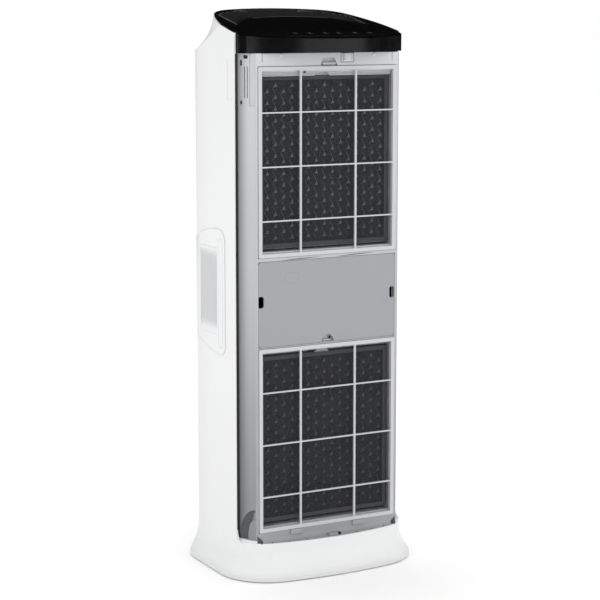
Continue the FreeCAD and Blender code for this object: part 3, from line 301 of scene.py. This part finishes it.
def shaded_chassis(name, colour, roughness):
    """Chassis plastic with painted shade: darker towards the side seams and the foot, most of all low on
    the walls, and painted light towards the top.
    """
    near_seam, wall_edge = (0.156, 0.171), (0.1500, 0.1515)
    tower, low_half = (-0.15, 1.15), (0.02, 0.62)
    seam_dim, foot_dim, top_lit, wall_dim = 0.42, 0.70, 1.22, 0.34
    material = moulded(name, colour, roughness, spread=0.02)
    tree = material.node_tree
    x, _, z = axes(tree)
    outwards = calc(tree, "ABSOLUTE", x)
    sides = spread_over(tree, outwards, *near_seam, 1.10, seam_dim)
    height = spread_over(tree, z, *tower, foot_dim, top_lit)
    on_wall = spread_over(tree, outwards, *wall_edge, 0.0, 1.0)
    dim = calc(tree, "MULTIPLY", on_wall, spread_over(tree, z, *low_half, -wall_dim, 0.0))
    low_walls = calc(tree, "ADD", dim, 1.0)
    factor = calc(tree, "MULTIPLY", calc(tree, "MULTIPLY", sides, height), low_walls)
    return graded(material, factor)


def shaded_casing(name, colour, roughness, level):
    """Casing plastic with painted shade: a touch darker towards the back and the foot and along the
    lowest edge.
    """
    rear_half, lowest_edge, lower_part = (0.02, 0.15), (0.008, 0.020), (0.02, 0.75)
    back_dim, edge_dim, foot_dim = 0.90, 0.93, 0.955
    material = polished(name, colour, roughness, level=level, spread=0.006)
    tree = material.node_tree
    _, y, z = axes(tree)
    back = spread_over(tree, y, *rear_half, 1.0, back_dim)
    rim = spread_over(tree, z, *lowest_edge, edge_dim, 1.0)
    low = spread_over(tree, z, *lower_part, foot_dim, 1.0)
    return graded(material, calc(tree, "MULTIPLY", calc(tree, "MULTIPLY", back, rim), low))


def shaded_plastic(name, colour, roughness):
    """Dark plastic with painted light: lighter near the top of the tower, as lit from above."""
    foot, top, foot_dim, top_dim = 0.10, 0.95, 0.50, 0.90
    material = moulded(name, colour, roughness, level=0.3)
    tree = material.node_tree
    return graded(material, spread_over(tree, axes(tree)[2], foot, top, foot_dim, top_dim))


def vent_with_painted_light(name, colour, roughness):
    """Vent plastic with painted light: it turns as pale as the lit casing towards the ends of its slats,
    where the grooves run out.
    """
    vent_middle, slat_end, vent_end, end_lit = 0.536, 0.060, 0.080, 1.2
    material = moulded(name, colour, roughness, spread=0.01)
    tree = material.node_tree
    away = calc(tree, "ABSOLUTE", calc(tree, "SUBTRACT", axes(tree)[2], vent_middle))
    return graded(material, spread_over(tree, away, slat_end, vent_end, 1.0, end_lit))


def make_materials():
    """One material for each slot of the record."""
    return {
        # white casing carries painted shade towards the back, the foot and the lowest edge
        "white_casing": shaded_casing("white_casing", (0.82, 0.823, 0.828), 0.38, 0.25),
        "white_rim": moulded("white_rim", (0.70, 0.703, 0.71), 0.45, spread=0.01, level=0.2),
        "rubber": moulded("rubber", (0.02, 0.02, 0.021), 0.8),
        # chassis grey carries painted shade at the seams, foot and low walls, and painted light at the
        # top
        "chassis_grey": shaded_chassis("chassis_grey", (0.435, 0.44, 0.45), 0.42),
        "black_gloss": polished("black_gloss", (0.002, 0.002, 0.0023), 0.22, level=0.15, wave=0.01),
        "black_glass": polished("black_glass", (0.0012, 0.0012, 0.0015), 0.08, level=0.04, wave=0.01),
        "black_satin": moulded("black_satin", (0.006, 0.006, 0.007), 0.35, level=0.2),
        "seam_black": moulded("seam_black", (0.012, 0.012, 0.014), 0.5, level=0.3),
        # vent grey with painted light towards the ends of its slats
        "vent_grey": vent_with_painted_light("vent_grey", (0.67, 0.675, 0.685), 0.4),
        "cover_grey": moulded("cover_grey", (0.325, 0.33, 0.342), 0.45, spread=0.01),
        "duct_black": moulded("duct_black", (0.02, 0.02, 0.022), 0.6),
        "circuit_board": polished("circuit_board", (0.012, 0.10, 0.035), 0.35),
        "coil_steel": brushed("coil_steel", (0.30, 0.27, 0.18), 0.45),
        "brass_pin": brushed("brass_pin", (0.75, 0.56, 0.28), 0.3),
        "latch_metal": brushed("latch_metal", (0.45, 0.45, 0.46), 0.5, (220, 4, 4), metallic=0.35),
        "frame_grey": moulded("frame_grey", (0.56, 0.565, 0.575), 0.45, spread=0.01),
        "dust_mesh": moulded("dust_mesh", (0.04, 0.041, 0.045), 0.6, level=0.1),
        "filter_rim": moulded("filter_rim", (0.09, 0.092, 0.098), 0.55, level=0.2),
        "carbon": granular("carbon", (0.010, 0.010, 0.011), (0.058, 0.060, 0.064)),
        "hepa_border": moulded("hepa_border", (0.72, 0.73, 0.73), 0.8),
        "hepa_paper": pleated_paper("hepa_paper", (0.82, 0.83, 0.81)),
        # this plastic carries painted light, lighter towards the top of the tower
        "wheel_plastic": shaded_plastic("wheel_plastic", (0.155, 0.158, 0.165), 0.5),
        "shaft_steel": brushed("shaft_steel", (0.55, 0.55, 0.57), 0.3),
        "motor_steel": brushed("motor_steel", (0.32, 0.33, 0.35), 0.4),
    }


# ------------------------------------------------------------------ CAD nodes

def dress_nodes():
    """Every CAD node takes the material of its slot in the record."""
    for row in frame["record"]["subparts"]:
        target = NODES[row["node"]]
        target.data.materials.clear()
        target.data.materials.append(MATERIALS[row["material_slot"]])


def round_edges(target, width):
    """A small two-step round on a mesh's edges, with its width in millimetres."""
    bevel = target.modifiers.new("edges", "BEVEL")
    bevel.width = width * MM
    bevel.segments = 2
    return bevel


def soften_edges():
    """Small rounds on the moulded edges that catch the light, in millimetres."""
    widths = {
        "outlet_louvre": 0.6, "centre_cover": 0.7, "front_chassis": 0.4,
        "side_wall_left": 0.4, "side_wall_right": 0.4,
        "lower_prefilter_frame": 0.7, "upper_prefilter_frame": 0.7,
        "top_latch": 0.5, "cover_switch": 0.8, "bottom_latch": 0.6, "bottom_tabs": 0.8,
        "upper_carbon_rim": 0.6, "lower_carbon_rim": 0.6,
        "upper_carbon_tab": 0.4, "lower_carbon_tab": 0.4,
        "side_vent_surround_left": 0.3, "side_vent_surround_right": 0.3,
        "side_vent_grille_left": 0.4, "side_vent_grille_right": 0.4,
        "seam_trim_left": 0.4, "seam_trim_right": 0.4,
    }
    sharp = math.radians(40)
    for name, width in widths.items():
        target = NODES[name]
        weld = target.modifiers.new("weld", "WELD")
        weld.merge_threshold = WELD
        bevel = round_edges(target, width)
        bevel.limit_method = "ANGLE"
        bevel.angle_limit = sharp
        bevel.harden_normals = True


# ------------------------------------------------------------------ mesh helpers

def new_piece(name, bm, slot, body, smooth=False):
    """A finished mesh that takes its finish from a slot and rides on a body."""
    bmesh.ops.recalc_face_normals(bm, faces=bm.faces)
    mesh = bpy.data.meshes.new(name)
    bm.to_mesh(mesh)
    bm.free()
    for face in mesh.polygons:
        face.use_smooth = smooth
    piece = bpy.data.objects.new(name, mesh)
    mesh.materials.append(MATERIALS[slot])
    bpy.context.scene.collection.objects.link(piece)
    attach(piece, body)
    return piece


def top_of(name, x, y):
    """The point of a node's upper surface above a place, or None beside the node."""
    above, down = 2.0, Vector((0, 0, -1))
    hit, spot, *_ = NODES[name].ray_cast(Vector((x, y, above)), down)
    return spot if hit else None


def skin(bm, rings, closed=False):
    """Faces between rings of corners, and over both ends unless the rings close in a loop."""
    following = rings[1:] + (rings[:1] if closed else [])
    for ring, after in zip(rings, following):
        for m in range(len(ring)):
            n = (m + 1) % len(ring)
            bm.faces.new([ring[m], ring[n], after[n], after[m]])
    if not closed:
        bm.faces.new(rings[0][::-1])
        bm.faces.new(rings[-1])


def close_sheet(bm, grid, axis, level):
    """Faces over a grid of corners, with straight sides to a flat back at a level of an axis."""
    for line, after in zip(grid, grid[1:]):
        for j in range(len(line) - 1):
            bm.faces.new([line[j], after[j], after[j + 1], line[j + 1]])
    edge = [e for e in bm.edges if e.is_boundary]
    made = bmesh.ops.extrude_edge_only(bm, edges=edge)
    for item in made["geom"]:
        if isinstance(item, bmesh.types.BMVert):
            item.co[axis] = level
    bmesh.ops.contextual_create(bm, geom=[e for e in bm.edges if e.is_boundary])


def add_block(bm, low, high):
    """A closed box between two corners."""
    spots = [(x, y, z) for x in (low[0], high[0]) for y in (low[1], high[1]) for z in (low[2], high[2])]
    v = [bm.verts.new(s) for s in spots]
    for quad in ((0, 1, 3, 2), (4, 6, 7, 5), (0, 4, 5, 1), (2, 3, 7, 6), (0, 2, 6, 4), (1, 5, 7, 3)):
        bm.faces.new([v[i] for i in quad])


def add_ribbon(bm, spots, width, low_y, high_y):
    """A ridge of triangular section that follows (x, z) spots on an upright face."""
    half = width / 2
    rings = []
    for k, (x, z) in enumerate(spots):
        ahead = spots[min(k + 1, len(spots) - 1)]
        behind = spots[max(k - 1, 0)]
        run = math.hypot(ahead[0] - behind[0], ahead[1] - behind[1])
        nx, nz = -(ahead[1] - behind[1]) / run, (ahead[0] - behind[0]) / run
        rings.append([bm.verts.new((x - nx * half, low_y, z - nz * half)),
                      bm.verts.new((x, high_y, z)),
                      bm.verts.new((x + nx * half, low_y, z + nz * half))])
    skin(bm, rings)


def add_tube(bm, spots, radius, sides=6, closed=False):
    """A round bar through spots; its ends are capped unless it is closed."""
    rings = []
    count = len(spots)
    for k in range(count):
        if closed:
            run = spots[(k + 1) % count] - spots[k - 1]
        else:
            run = spots[min(k + 1, count - 1)] - spots[max(k - 1, 0)]
        run.normalize()
        guide = Vector((0, 0, 1)) if abs(run.z) < 0.9 else Vector((1, 0, 0))
        across = run.cross(guide).normalized()
        up = across.cross(run)
        angles = [2 * math.pi * m / sides for m in range(sides)]
        rings.append([bm.verts.new(spots[k] + (across * math.cos(a) + up * math.sin(a)) * radius)
                      for a in angles])
    skin(bm, rings, closed)


def add_disc(bm, middle, radius, tall, sides=12):
    """A short upright pin with a bevelled top."""
    rings = []
    for level, r in ((0, radius), (tall * 0.6, radius), (tall, radius * 0.7)):
        angles = [2 * math.pi * k / sides for k in range(sides)]
        rings.append([bm.verts.new(middle + Vector((r * math.cos(a), r * math.sin(a), level)))
                      for a in angles])
    skin(bm, rings)


def add_dome(bm, middle, radius, tall):
    """Half a flattened ball that stands out to the front."""
    sides, levels = 16, 5
    rings = []
    for j in range(levels):
        rise = math.pi / 2 * j / levels
        r = radius * math.cos(rise)
        y = middle[1] - tall * math.sin(rise)
        angles = [2 * math.pi * k / sides for k in range(sides)]
        rings.append([bm.verts.new((middle[0] + r * math.cos(a), y, middle[2] + r * math.sin(a)))
                      for a in angles])
    skin(bm, rings)


# ------------------------------------------------------------------ filters

CELL_TALL = 21.5 * MM
COLUMN = 17.4 * MM


def dust_screen(kind):
    """Woven screen in a pre-filter frame: two layers of square strands."""
    low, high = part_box(kind + "_prefilter_mesh")
    pitch, thick = 2.4 * MM, 0.2 * MM
    bm = bmesh.new()
    count = int((high.x - low.x) / pitch)
    for step in range(1, count + 1):
        x = low.x + step * (high.x - low.x) / (count + 1)
        add_block(bm, (x - thick / 2, low.y, low.z), (x + thick / 2, low.y + thick, high.z))
    count = int((high.z - low.z) / pitch)
    for step in range(1, count + 1):
        z = low.z + step * (high.z - low.z) / (count + 1)
        add_block(bm, (low.x, low.y + thick, z - thick / 2), (high.x, low.y + 2 * thick, z + thick / 2))
    piece = new_piece(kind + "_dust_screen", bm, "dust_mesh", kind + "_prefilter")
    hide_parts(kind + "_prefilter_mesh")


def cell_spots(low, high):
    """Middles of the pad's bosses: columns set off by half a cell from each other."""
    columns = int((high.x - low.x) / COLUMN) + 1
    rows = int((high.z - low.z) / CELL_TALL) + 1
    for i in range(columns):
        for j in range(rows + 1):
            x = low.x + (i + 0.5) * (high.x - low.x) / columns
            z = low.z + (j + (0.5 if i % 2 else 0.0)) * CELL_TALL
            yield x, z


def dimple(x, z, low):
    """Depth of the pad's hollow cells at a place on its face, from 0 to 1."""
    half_wide, half_tall = COLUMN * 0.5, CELL_TALL * 0.52
    column = (x - low.x) / COLUMN - 0.5
    i = round(column)
    shift = 0.5 if i % 2 else 0.0
    row = (z - low.z) / CELL_TALL - shift
    across = (column - i) * COLUMN
    along = (row - math.floor(row) - 0.5) * CELL_TALL
    away = math.hypot(across / half_wide, along / half_tall)
    return max(0.0, 1 - away ** 2)


def carbon_pad(kind):
    """Carbon pad with a hollow pressed into each cell of its face."""
    low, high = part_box(kind + "_carbon_core")
    columns, rows, deep = 96, 116, 1.6 * MM
    bm = bmesh.new()
    grid = []
    for i in range(columns + 1):
        x = low.x + (high.x - low.x) * i / columns
        line = []
        for j in range(rows + 1):
            z = low.z + (high.z - low.z) * j / rows
            line.append(bm.verts.new((x, low.y + deep * dimple(x, z, low), z)))
        grid.append(line)
    close_sheet(bm, grid, 1, high.y)
    piece = new_piece(kind + "_carbon_pad", bm, "carbon", kind + "_carbon_filter")
    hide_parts(kind + "_carbon_core")


def boss_outline(x, z):
    """Six corners of a three-armed boss: the tip of each arm and the notch after it."""
    arms, notch = ((90, 6.6), (207, 6.6), (333, 4.6)), 2.9
    rim = []
    for angle, reach in arms:
        for turn, away in ((angle, reach), (angle + 60, notch)):
            a = math.radians(turn)
            rim.append((x + away * MM * math.cos(a), z + away * MM * math.sin(a)))
    return rim


def curve(start, bulge, end, steps=6):
    """Places on a curve from start to end that is drawn towards a bulge."""
    path = []
    for step in range(steps + 1):
        t = step / steps
        path.append(tuple((1 - t) ** 2 * a + 2 * t * (1 - t) * b + t * t * c
                          for a, b, c in zip(start, bulge, end)))
    return path


def carbon_stars(kind):
    """Three-armed bosses between the cells of a carbon pad and the ridges that run down from them."""
    low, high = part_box(kind + "_carbon_core")
    base, top, narrowing = low.y + 0.5 * MM, low.y - 0.9 * MM, 0.72
    beside, below, above = 7 * MM, 8 * MM, 9 * MM
    bm = bmesh.new()
    for x, z in cell_spots(low, high):
        if not (low.x + beside < x < high.x - beside and low.z + below < z < high.z - above):
            continue
        rim = boss_outline(x, z)
        outer = [bm.verts.new((rx, base, rz)) for rx, rz in rim]
        inner = [bm.verts.new((x + (rx - x) * narrowing, top, z + (rz - z) * narrowing))
                 for rx, rz in rim]
        skin(bm, [outer, inner])
        foot, tip = rim[2], (x, z - CELL_TALL + 6.6 * MM)
        if tip[1] > low.z + 2 * MM:
            bulge = (foot[0] + 0.4 * MM, (foot[1] + tip[1]) / 2)
            add_ribbon(bm, curve(foot, bulge, tip), 1.5 * MM, low.y + 0.6 * MM, low.y - 0.2 * MM)
    # the bosses' plastic carries painted light: lighter towards the top of the tower
    new_piece(kind + "_carbon_stars", bm, "wheel_plastic", kind + "_carbon_filter")


def prefilter_flange():
    """Pale flange along the top of the upper pre-filter, cut away in front of the pull tab."""
    low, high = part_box("upper_prefilter_mesh")
    foot, crest = high.z - 6.5 * MM, high.z + 0.7 * MM
    front, back = high.y + 0.3 * MM, high.y + 1.3 * MM
    left_gap, right_gap = (-25.8 * MM, -17.8 * MM), (5.8 * MM, -0.8 * MM)
    bm = bmesh.new()
    for outer, (at_foot, at_crest) in ((low.x + MM, left_gap), (high.x - MM, right_gap)):
        outline = ((outer, foot), (at_foot, foot), (at_crest, crest), (outer, crest))
        skin(bm, [[bm.verts.new((x, y, z)) for x, z in outline] for y in (front, back)])
    flange = new_piece("upper_prefilter_flange", bm, "frame_grey", "upper_prefilter")
    round_edges(flange, 0.3)


# ------------------------------------------------------------------ side vents

SLATS = 9


def vent_room(word):
    """A side vent's slatted field: distances of its face and back, then its low and high (y, z)."""
    low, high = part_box("side_vent_grille_" + word)
    margin = 2 * MM
    face = max(abs(low.x), abs(high.x)) + 0.2 * MM
    back = min(abs(low.x), abs(high.x))
    return face, back, (low.y + margin, low.z + margin), (high.y - margin, high.z - margin)


def fade(z, low, high, length):
    """0 at both ends of a span and 1 away from them, with a smooth passage."""
    near = min(1.0, max(0.0, min(z - low, high - z) / length))
    return near * near * (3 - 2 * near)


def vent_louvre(word, side):
    """Slatted panel of a side vent: upright grooves that run out level with the surround."""
    face, back, (y_low, z_low), (y_high, z_high) = vent_room(word)
    per_slat, rows = 12, 56
    sunk, groove_deep = 0.6 * MM, 4.0 * MM
    bm = bmesh.new()
    grid = []
    for i in range(SLATS * per_slat + 1):
        y = y_low + (y_high - y_low) * i / (SLATS * per_slat)
        groove = (0.5 - 0.5 * math.cos(2 * math.pi * i / per_slat)) ** 0.7
        run_out = 16 * MM + 7 * MM * (y_high - y) / (y_high - y_low)
        line = []
        for j in range(rows + 1):
            z = z_low + (z_high - z_low) * j / rows
            depth = fade(z, z_low, z_high, run_out) * (sunk + groove_deep * groove)
            line.append(bm.verts.new((side * (face - depth), y, z)))
        grid.append(line)
    close_sheet(bm, grid, 0, side * back)
    piece = new_piece("side_vent_louvre_" + word, bm, "vent_grey", "casing", smooth=True)
    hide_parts("side_vent_grille_" + word)


def vent_groove_shade(word, side):
    """Painted shade at the bottom of a side vent's grooves: darker slots."""
    face, _, (y_low, z_low), (y_high, z_high) = vent_room(word)
    inner, outer = side * (face - 4.9 * MM), side * (face - 4.1 * MM)
    half_wide, from_end = 1.1 * MM, 18 * MM
    pitch = (y_high - y_low) / SLATS
    bm = bmesh.new()
    for i in range(SLATS):
        y = y_low + (i + 0.5) * pitch
        add_block(bm, (min(inner, outer), y - half_wide, z_low + from_end),
                  (max(inner, outer), y + half_wide, z_high - from_end))
    new_piece("side_vent_slots_" + word, bm, "cover_grey", "casing")


def vent_line(word, side):
    """Slim raised loop on the vent's surround, in front of its slats."""
    low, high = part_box("side_vent_surround_" + word)
    x = side * max(abs(low.x), abs(high.x))
    y_low, y_high, z_low, z_high = -21.5 * MM, -3.5 * MM, 426.5 * MM, 633.5 * MM
    half, top_half, sunk = 0.6 * MM, 0.24 * MM, 0.3 * MM
    r = (y_high - y_low) / 2
    spots = []
    for middle, first in ((z_high - r, 0), (z_low + r, 180)):
        for turn in range(first, first + 181, 15):
            a = math.radians(turn)
            spots.append(((y_low + y_high) / 2 + r * math.cos(a), middle + r * math.sin(a)))
    bm = bmesh.new()
    rings = []
    for k, (y, z) in enumerate(spots):
        ahead, behind = spots[(k + 1) % len(spots)], spots[k - 1]
        run = math.hypot(ahead[0] - behind[0], ahead[1] - behind[1])
        ny, nz = (ahead[1] - behind[1]) / run, -(ahead[0] - behind[0]) / run
        section = ((sunk, -half), (0, -top_half), (0, top_half), (sunk, half))
        rings.append([bm.verts.new((x - side * depth, y + ny * across, z + nz * across))
                      for depth, across in section])
    skin(bm, rings, closed=True)
    new_piece("side_vent_line_" + word, bm, "chassis_grey", "casing")


def vent_outline(word, side):
    """Fine raised line round the outer edge of the vent's surround, away from the slats."""
    source = NODES["side_vent_surround_" + word]
    low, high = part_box("side_vent_grille_" + word)
    sharp, shortest, radius = math.radians(50), 0.2 * MM, 0.28 * MM
    before, behind, beyond = 2 * MM, 4 * MM, 4 * MM
    surround = bmesh.new()
    surround.from_mesh(source.data)
    bmesh.ops.remove_doubles(surround, verts=surround.verts, dist=WELD)
    bm = bmesh.new()
    for edge in surround.edges:
        if len(edge.link_faces) != 2 or edge.calc_face_angle() < sharp:
            continue
        a, b = (source.matrix_world @ v.co for v in edge.verts)
        middle = (a + b) / 2
        outer = max(face.normal.x * side for face in edge.link_faces) > 0.3
        at_slats = (abs(middle.z - (low.z + high.z) / 2) < (high.z - low.z) / 2 + beyond
                    and low.y - before < middle.y < high.y + behind)
        if outer and not at_slats and (a - b).length > shortest:
            add_tube(bm, [a, b], radius)
    surround.free()
    new_piece("side_vent_outline_" + word, bm, "frame_grey", "casing")


# ------------------------------------------------------------------ small parts of the front

def wall_x(y):
    """Distance from the middle of the side wall's face at a depth."""
    front, seam = (150 * MM, -113 * MM), (168 * MM, -75.7 * MM)
    return front[0] + (y - front[1]) * (seam[0] - front[0]) / (seam[1] - front[1])


def wall_crescent_shade(word, side):
    """Hollow crescent at the foot of a side wall, lined with a dark sheet as painted shade, darker than
    the wall round it.

    Its outer edge is a quarter ellipse, its inner one a flatter curve; both are in millimetres.
    """
    steps, across, reach = 24, 6, 0.985
    foot, tall, hollow = 74.5, 57.5, 0.35 * MM
    outer_foot, outer_deep = -77, 33
    inner_foot, inner_deep, inner_bend = -94, 16.5, 2.2
    bm = bmesh.new()
    rings = []
    for k in range(steps + 1):
        u = k / steps * reach
        z = (foot + tall * u) * MM
        outer = (outer_foot - outer_deep * (1 - math.sqrt(1 - u * u))) * MM
        inner = (inner_foot - inner_deep * u ** inner_bend) * MM
        ring = []
        for m in range(across + 1):
            t = m / across
            y = outer + (inner - outer) * t
            lift = hollow * (1 - 4 * t * (1 - t))
            ring.append((side * (wall_x(y) + lift), y - lift * 0.5, z))
        ring += [(x - side * 0.6 * MM, y + 0.4 * MM, z) for x, y, z in (ring[-1], ring[0])]
        rings.append([bm.verts.new(place) for place in ring])
    skin(bm, rings)
    new_piece("wall_crescent_shade_" + word, bm, "filter_rim", "casing", smooth=True)


def corner_gussets():
    """Small three-sided gussets where the frame's lower corners meet the shelf, made in dark plastic as
    painted shade.
    """
    face, floor = -113.1, 69.2
    corners = ((149.6, face, 82.5), (149.6, face, floor), (134, face, floor), (144, -123.5, floor))
    bm = bmesh.new()
    for side in (-1, 1):
        places = [(side * x * MM, y * MM, z * MM) for x, y, z in corners]
        top, back, inner, front = [bm.verts.new(place) for place in places]
        for sheet in ((top, back, front), (top, front, inner), (top, inner, back), (back, inner, front)):
            bm.faces.new(sheet)
    new_piece("corner_gussets", bm, "wheel_plastic", "casing")


def shelf_holes():
    """Row of small clip holes along the front of the shelf, drawn as black pins: painted shade for the
    dark inside of each hole.
    """
    radius, tall, sunk = 0.9 * MM, 2.2 * MM, 0.2 * MM
    places = ((-123, -123), (-90, -130.5), (-55, -134.5), (53, -134.5), (87, -130.5), (118, -123))
    bm = bmesh.new()
    for x, y in places:
        spot = top_of("lip_shelf", x * MM, y * MM)
        if spot:
            add_disc(bm, spot - Vector((0, 0, sunk)), radius, tall)
    new_piece("shelf_clip_holes", bm, "black_satin", "casing")


def locating_bumps():
    """Two small domes under the head's band."""
    apart, y, z = 98 * MM, -112.8 * MM, 975.5 * MM
    bm = bmesh.new()
    for x in (-apart, apart):
        add_dome(bm, (x, y, z), 3.2 * MM, 2.0 * MM)
    new_piece("locating_bumps", bm, "hepa_border", "casing", smooth=True)


def switch_clip():
    """Pale clip plate on the cover switch."""
    low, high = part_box("cover_switch")
    back, ledge = low.y + 0.5 * MM, low.z + 3.5 * MM  # the plate stands on a wider ledge
    bm = bmesh.new()
    add_block(bm, (low.x + 8 * MM, low.y - 0.5 * MM, ledge), (high.x - 7 * MM, back, high.z - 0.8 * MM))
    add_block(bm, (low.x + 4 * MM, low.y - 0.3 * MM, low.z + 1.5 * MM), (high.x - 2 * MM, back, ledge))
    plate = new_piece("switch_clip", bm, "hepa_border", "casing")
    round_edges(plate, 0.3)


def dark_pockets():
    """Painted shade in the recess beside the lower latch, in the cover's grips and in the hole of its
    notch; also a dark hook over the upper filters.
    """
    low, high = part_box("bottom_latch")
    recess = ((high.x - 5.5 * MM, low.y - 0.3 * MM, low.z + 0.6 * MM),
              (high.x + 0.4 * MM, low.y + 4 * MM, high.z + 0.3 * MM))
    hook = ((-49, -107.7, 942.6), (-44.5, -107.4, 945.8))
    grips = [((x, -109.75, 515), (x + 1.9, -109.5, 533)) for x in (-145, 143.1)]
    notch, notch_radius, notch_deep = (5.5 * MM, -109.5 * MM, 447.3 * MM), 2.6 * MM, 0.22 * MM
    bm = bmesh.new()
    add_block(bm, *recess)
    for corners in [hook] + grips:
        add_block(bm, *([value * MM for value in corner] for corner in corners))
    add_dome(bm, notch, notch_radius, notch_deep)
    new_piece("dark_pockets", bm, "black_satin", "casing")


def cover_emboss():
    """Shallow raised rectangle in the upper left of the centre cover."""
    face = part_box("centre_cover")[0].y
    x, z, half_wide, half_tall = -75.5 * MM, 566 * MM, 14.5 * MM, 10 * MM
    corners = ((-1, -1), (1, -1), (1, 1), (-1, 1))
    bm = bmesh.new()
    rings = []
    for inset, level in ((0, face + 0.1 * MM), (0.7 * MM, face - 0.4 * MM)):
        rings.append([bm.verts.new((x + dx * (half_wide - inset), level, z + dz * (half_tall - inset)))
                      for dx, dz in corners])
    skin(bm, rings)
    new_piece("cover_emboss", bm, "cover_grey", "cover")


def rail_scoop_shades():
    """Painted shade of two slim lens-shaped scoops in the rail over the centre cover: dark lenses on the
    rail's face.
    """
    steps, bulge = 16, 0.8 * MM
    front, back = -113.25 * MM, -112.9 * MM
    upper = [(k / steps, bulge * math.sin(math.pi * (k / steps))) for k in range(steps + 1)]
    lens = upper + [(t, -lift) for t, lift in upper[-2:0:-1]]
    bm = bmesh.new()
    for x_low, x_high, z_low, z_high in ((-98, -16, 599.9, 602.2), (17, 98, 600.4, 603.4)):
        skin(bm, [[bm.verts.new(((x_low + (x_high - x_low) * t) * MM, y,
                                 (z_low + (z_high - z_low) * t) * MM + lift)) for t, lift in lens]
                  for y in (front, back)])
    new_piece("rail_scoop_shades", bm, "wheel_plastic", "casing")


# ------------------------------------------------------------------ head

def louvre_tip_highlights():
    """Painted highlights on the ends of the outlet's slats that turn down inside the rim along both
    flanks: bars lighter than the black rim.
    """
    first, pitch, count, steps = -14 * MM, 10.5 * MM, 10, 6
    rim_at, inside_rim = 143 * MM, 137 * MM
    start, inwards, forwards, down = 140.8, 7.5, 4 * MM, 1.4 * MM
    bm = bmesh.new()
    for slat in range(count):
        for side in (-1, 1):
            spots = []
            for k in range(steps + 1):
                t = k / steps
                x = side * (start - inwards * t ** 1.5) * MM
                y = first + slat * pitch - forwards * t
                rim = top_of("head_cap", side * rim_at, y) or top_of("head_cap", side * inside_rim, y)
                if rim:
                    spots.append(Vector((x, y, rim.z - down * t * t)))
            if len(spots) > 3:
                add_tube(bm, spots, 0.5 * MM)
    new_piece("outlet_louvre_tips", bm, "wheel_plastic", "casing", smooth=True)


def ring_of(x, y, radius, start=0, end=360, steps=20):
    """Places on a circle, or on an arc with both its ends."""
    count = steps if end - start == 360 else steps + 1
    angles = [math.radians(start + (end - start) * k / steps) for k in range(count)]
    return [(x + radius * math.cos(a), y + radius * math.sin(a)) for a in angles]


def icon_lines(kind, x, y):
    """Plain line drawings for the touch keys; each is a list of (places, closed)."""
    r = 3.4 * MM
    if kind == "power":
        return [(ring_of(x, y, r, 120, 420), False), ([(x, y), (x, y + 1.2 * r)], False)]
    if kind == "fan":
        return [(ring_of(x + 0.5 * r * math.cos(a), y + 0.5 * r * math.sin(a), 0.45 * r), True)
                for a in (0.5, 2.6, 4.7)]
    if kind == "timer":
        return [(ring_of(x, y, r), True), ([(x, y + 0.6 * r), (x, y), (x + 0.5 * r, y)], False)]
    if kind == "night":
        return [(ring_of(x, y, r, 60, 300), False), (ring_of(x + 0.55 * r, y, 0.85 * r, 100, 260), False)]
    if kind == "filter":
        return [([(x - r, y + d * r), (x + r, y + d * r)], False) for d in (-0.7, 0, 0.7)]
    return [([(x - r, y - r), (x + r, y - r), (x + r, y + 0.2 * r), (x - r, y + 0.2 * r)], True),
            (ring_of(x, y + 0.2 * r, 0.6 * r, 0, 180), False)]


def touch_icons():
    """Six faint line icons on the control glass with a short bar under each."""
    places = {"power": -57, "fan": -26, "timer": 6, "night": 35, "filter": 69, "lock": 100}
    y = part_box("control_glass")[0].y + 57 * MM
    bar_y, half_bar = y - 7 * MM, 4.5 * MM
    bm = bmesh.new()
    for kind, place in places.items():
        x = place * MM
        bar = [(x - half_bar, bar_y), (x + half_bar, bar_y)]
        for line, closed in icon_lines(kind, x, y) + [(bar, False)]:
            spots = [top_of("control_glass", a, b) for a, b in line]
            if all(spots):
                add_tube(bm, spots, 0.2 * MM, 5, closed)
    new_piece("touch_icons", bm, "filter_rim", "casing")


def glass_edge_highlight():
    """Painted highlight: a fine bright line where the glass ends in its arch towards the outlet."""
    half, end, middle, steps = 80 * MM, 38 * MM, 50 * MM, 40
    inside, thick = 0.8 * MM, 0.4 * MM
    sag = middle - end
    radius = (half * half + sag * sag) / (2 * sag)
    spots = []
    for k in range(steps + 1):
        x = half * (2 * k / steps - 1)
        y = middle - radius + math.sqrt(radius * radius - x * x)
        spot = top_of("control_glass", x, y - inside)
        if spot:
            spots.append(spot + Vector((0, 0.5 * MM, 0)))
    bm = bmesh.new()
    add_tube(bm, spots, thick)
    new_piece("control_glass_edge", bm, "wheel_plastic", "casing", smooth=True)


make_camera()
make_lights()
MATERIALS = make_materials()
make_floor(moulded("floor_pale", (0.97, 0.97, 0.97), 0.8, grain=200, spread=0.003, level=0.0))
dress_nodes()
soften_edges()
for stack in STACKS:
    dust_screen(stack)
    carbon_pad(stack)
    carbon_stars(stack)
for word, side in SIDES:
    vent_louvre(word, side)
    vent_groove_shade(word, side)
    vent_line(word, side)
    vent_outline(word, side)
    wall_crescent_shade(word, side)
corner_gussets()
bpy.context.view_layer.update()
shelf_holes()
locating_bumps()
switch_clip()
prefilter_flange()
dark_pockets()
cover_emboss()
rail_scoop_shades()
louvre_tip_highlights()
touch_icons()
glass_edge_highlight()
bpy.context.scene.view_settings.view_transform = "Standard"
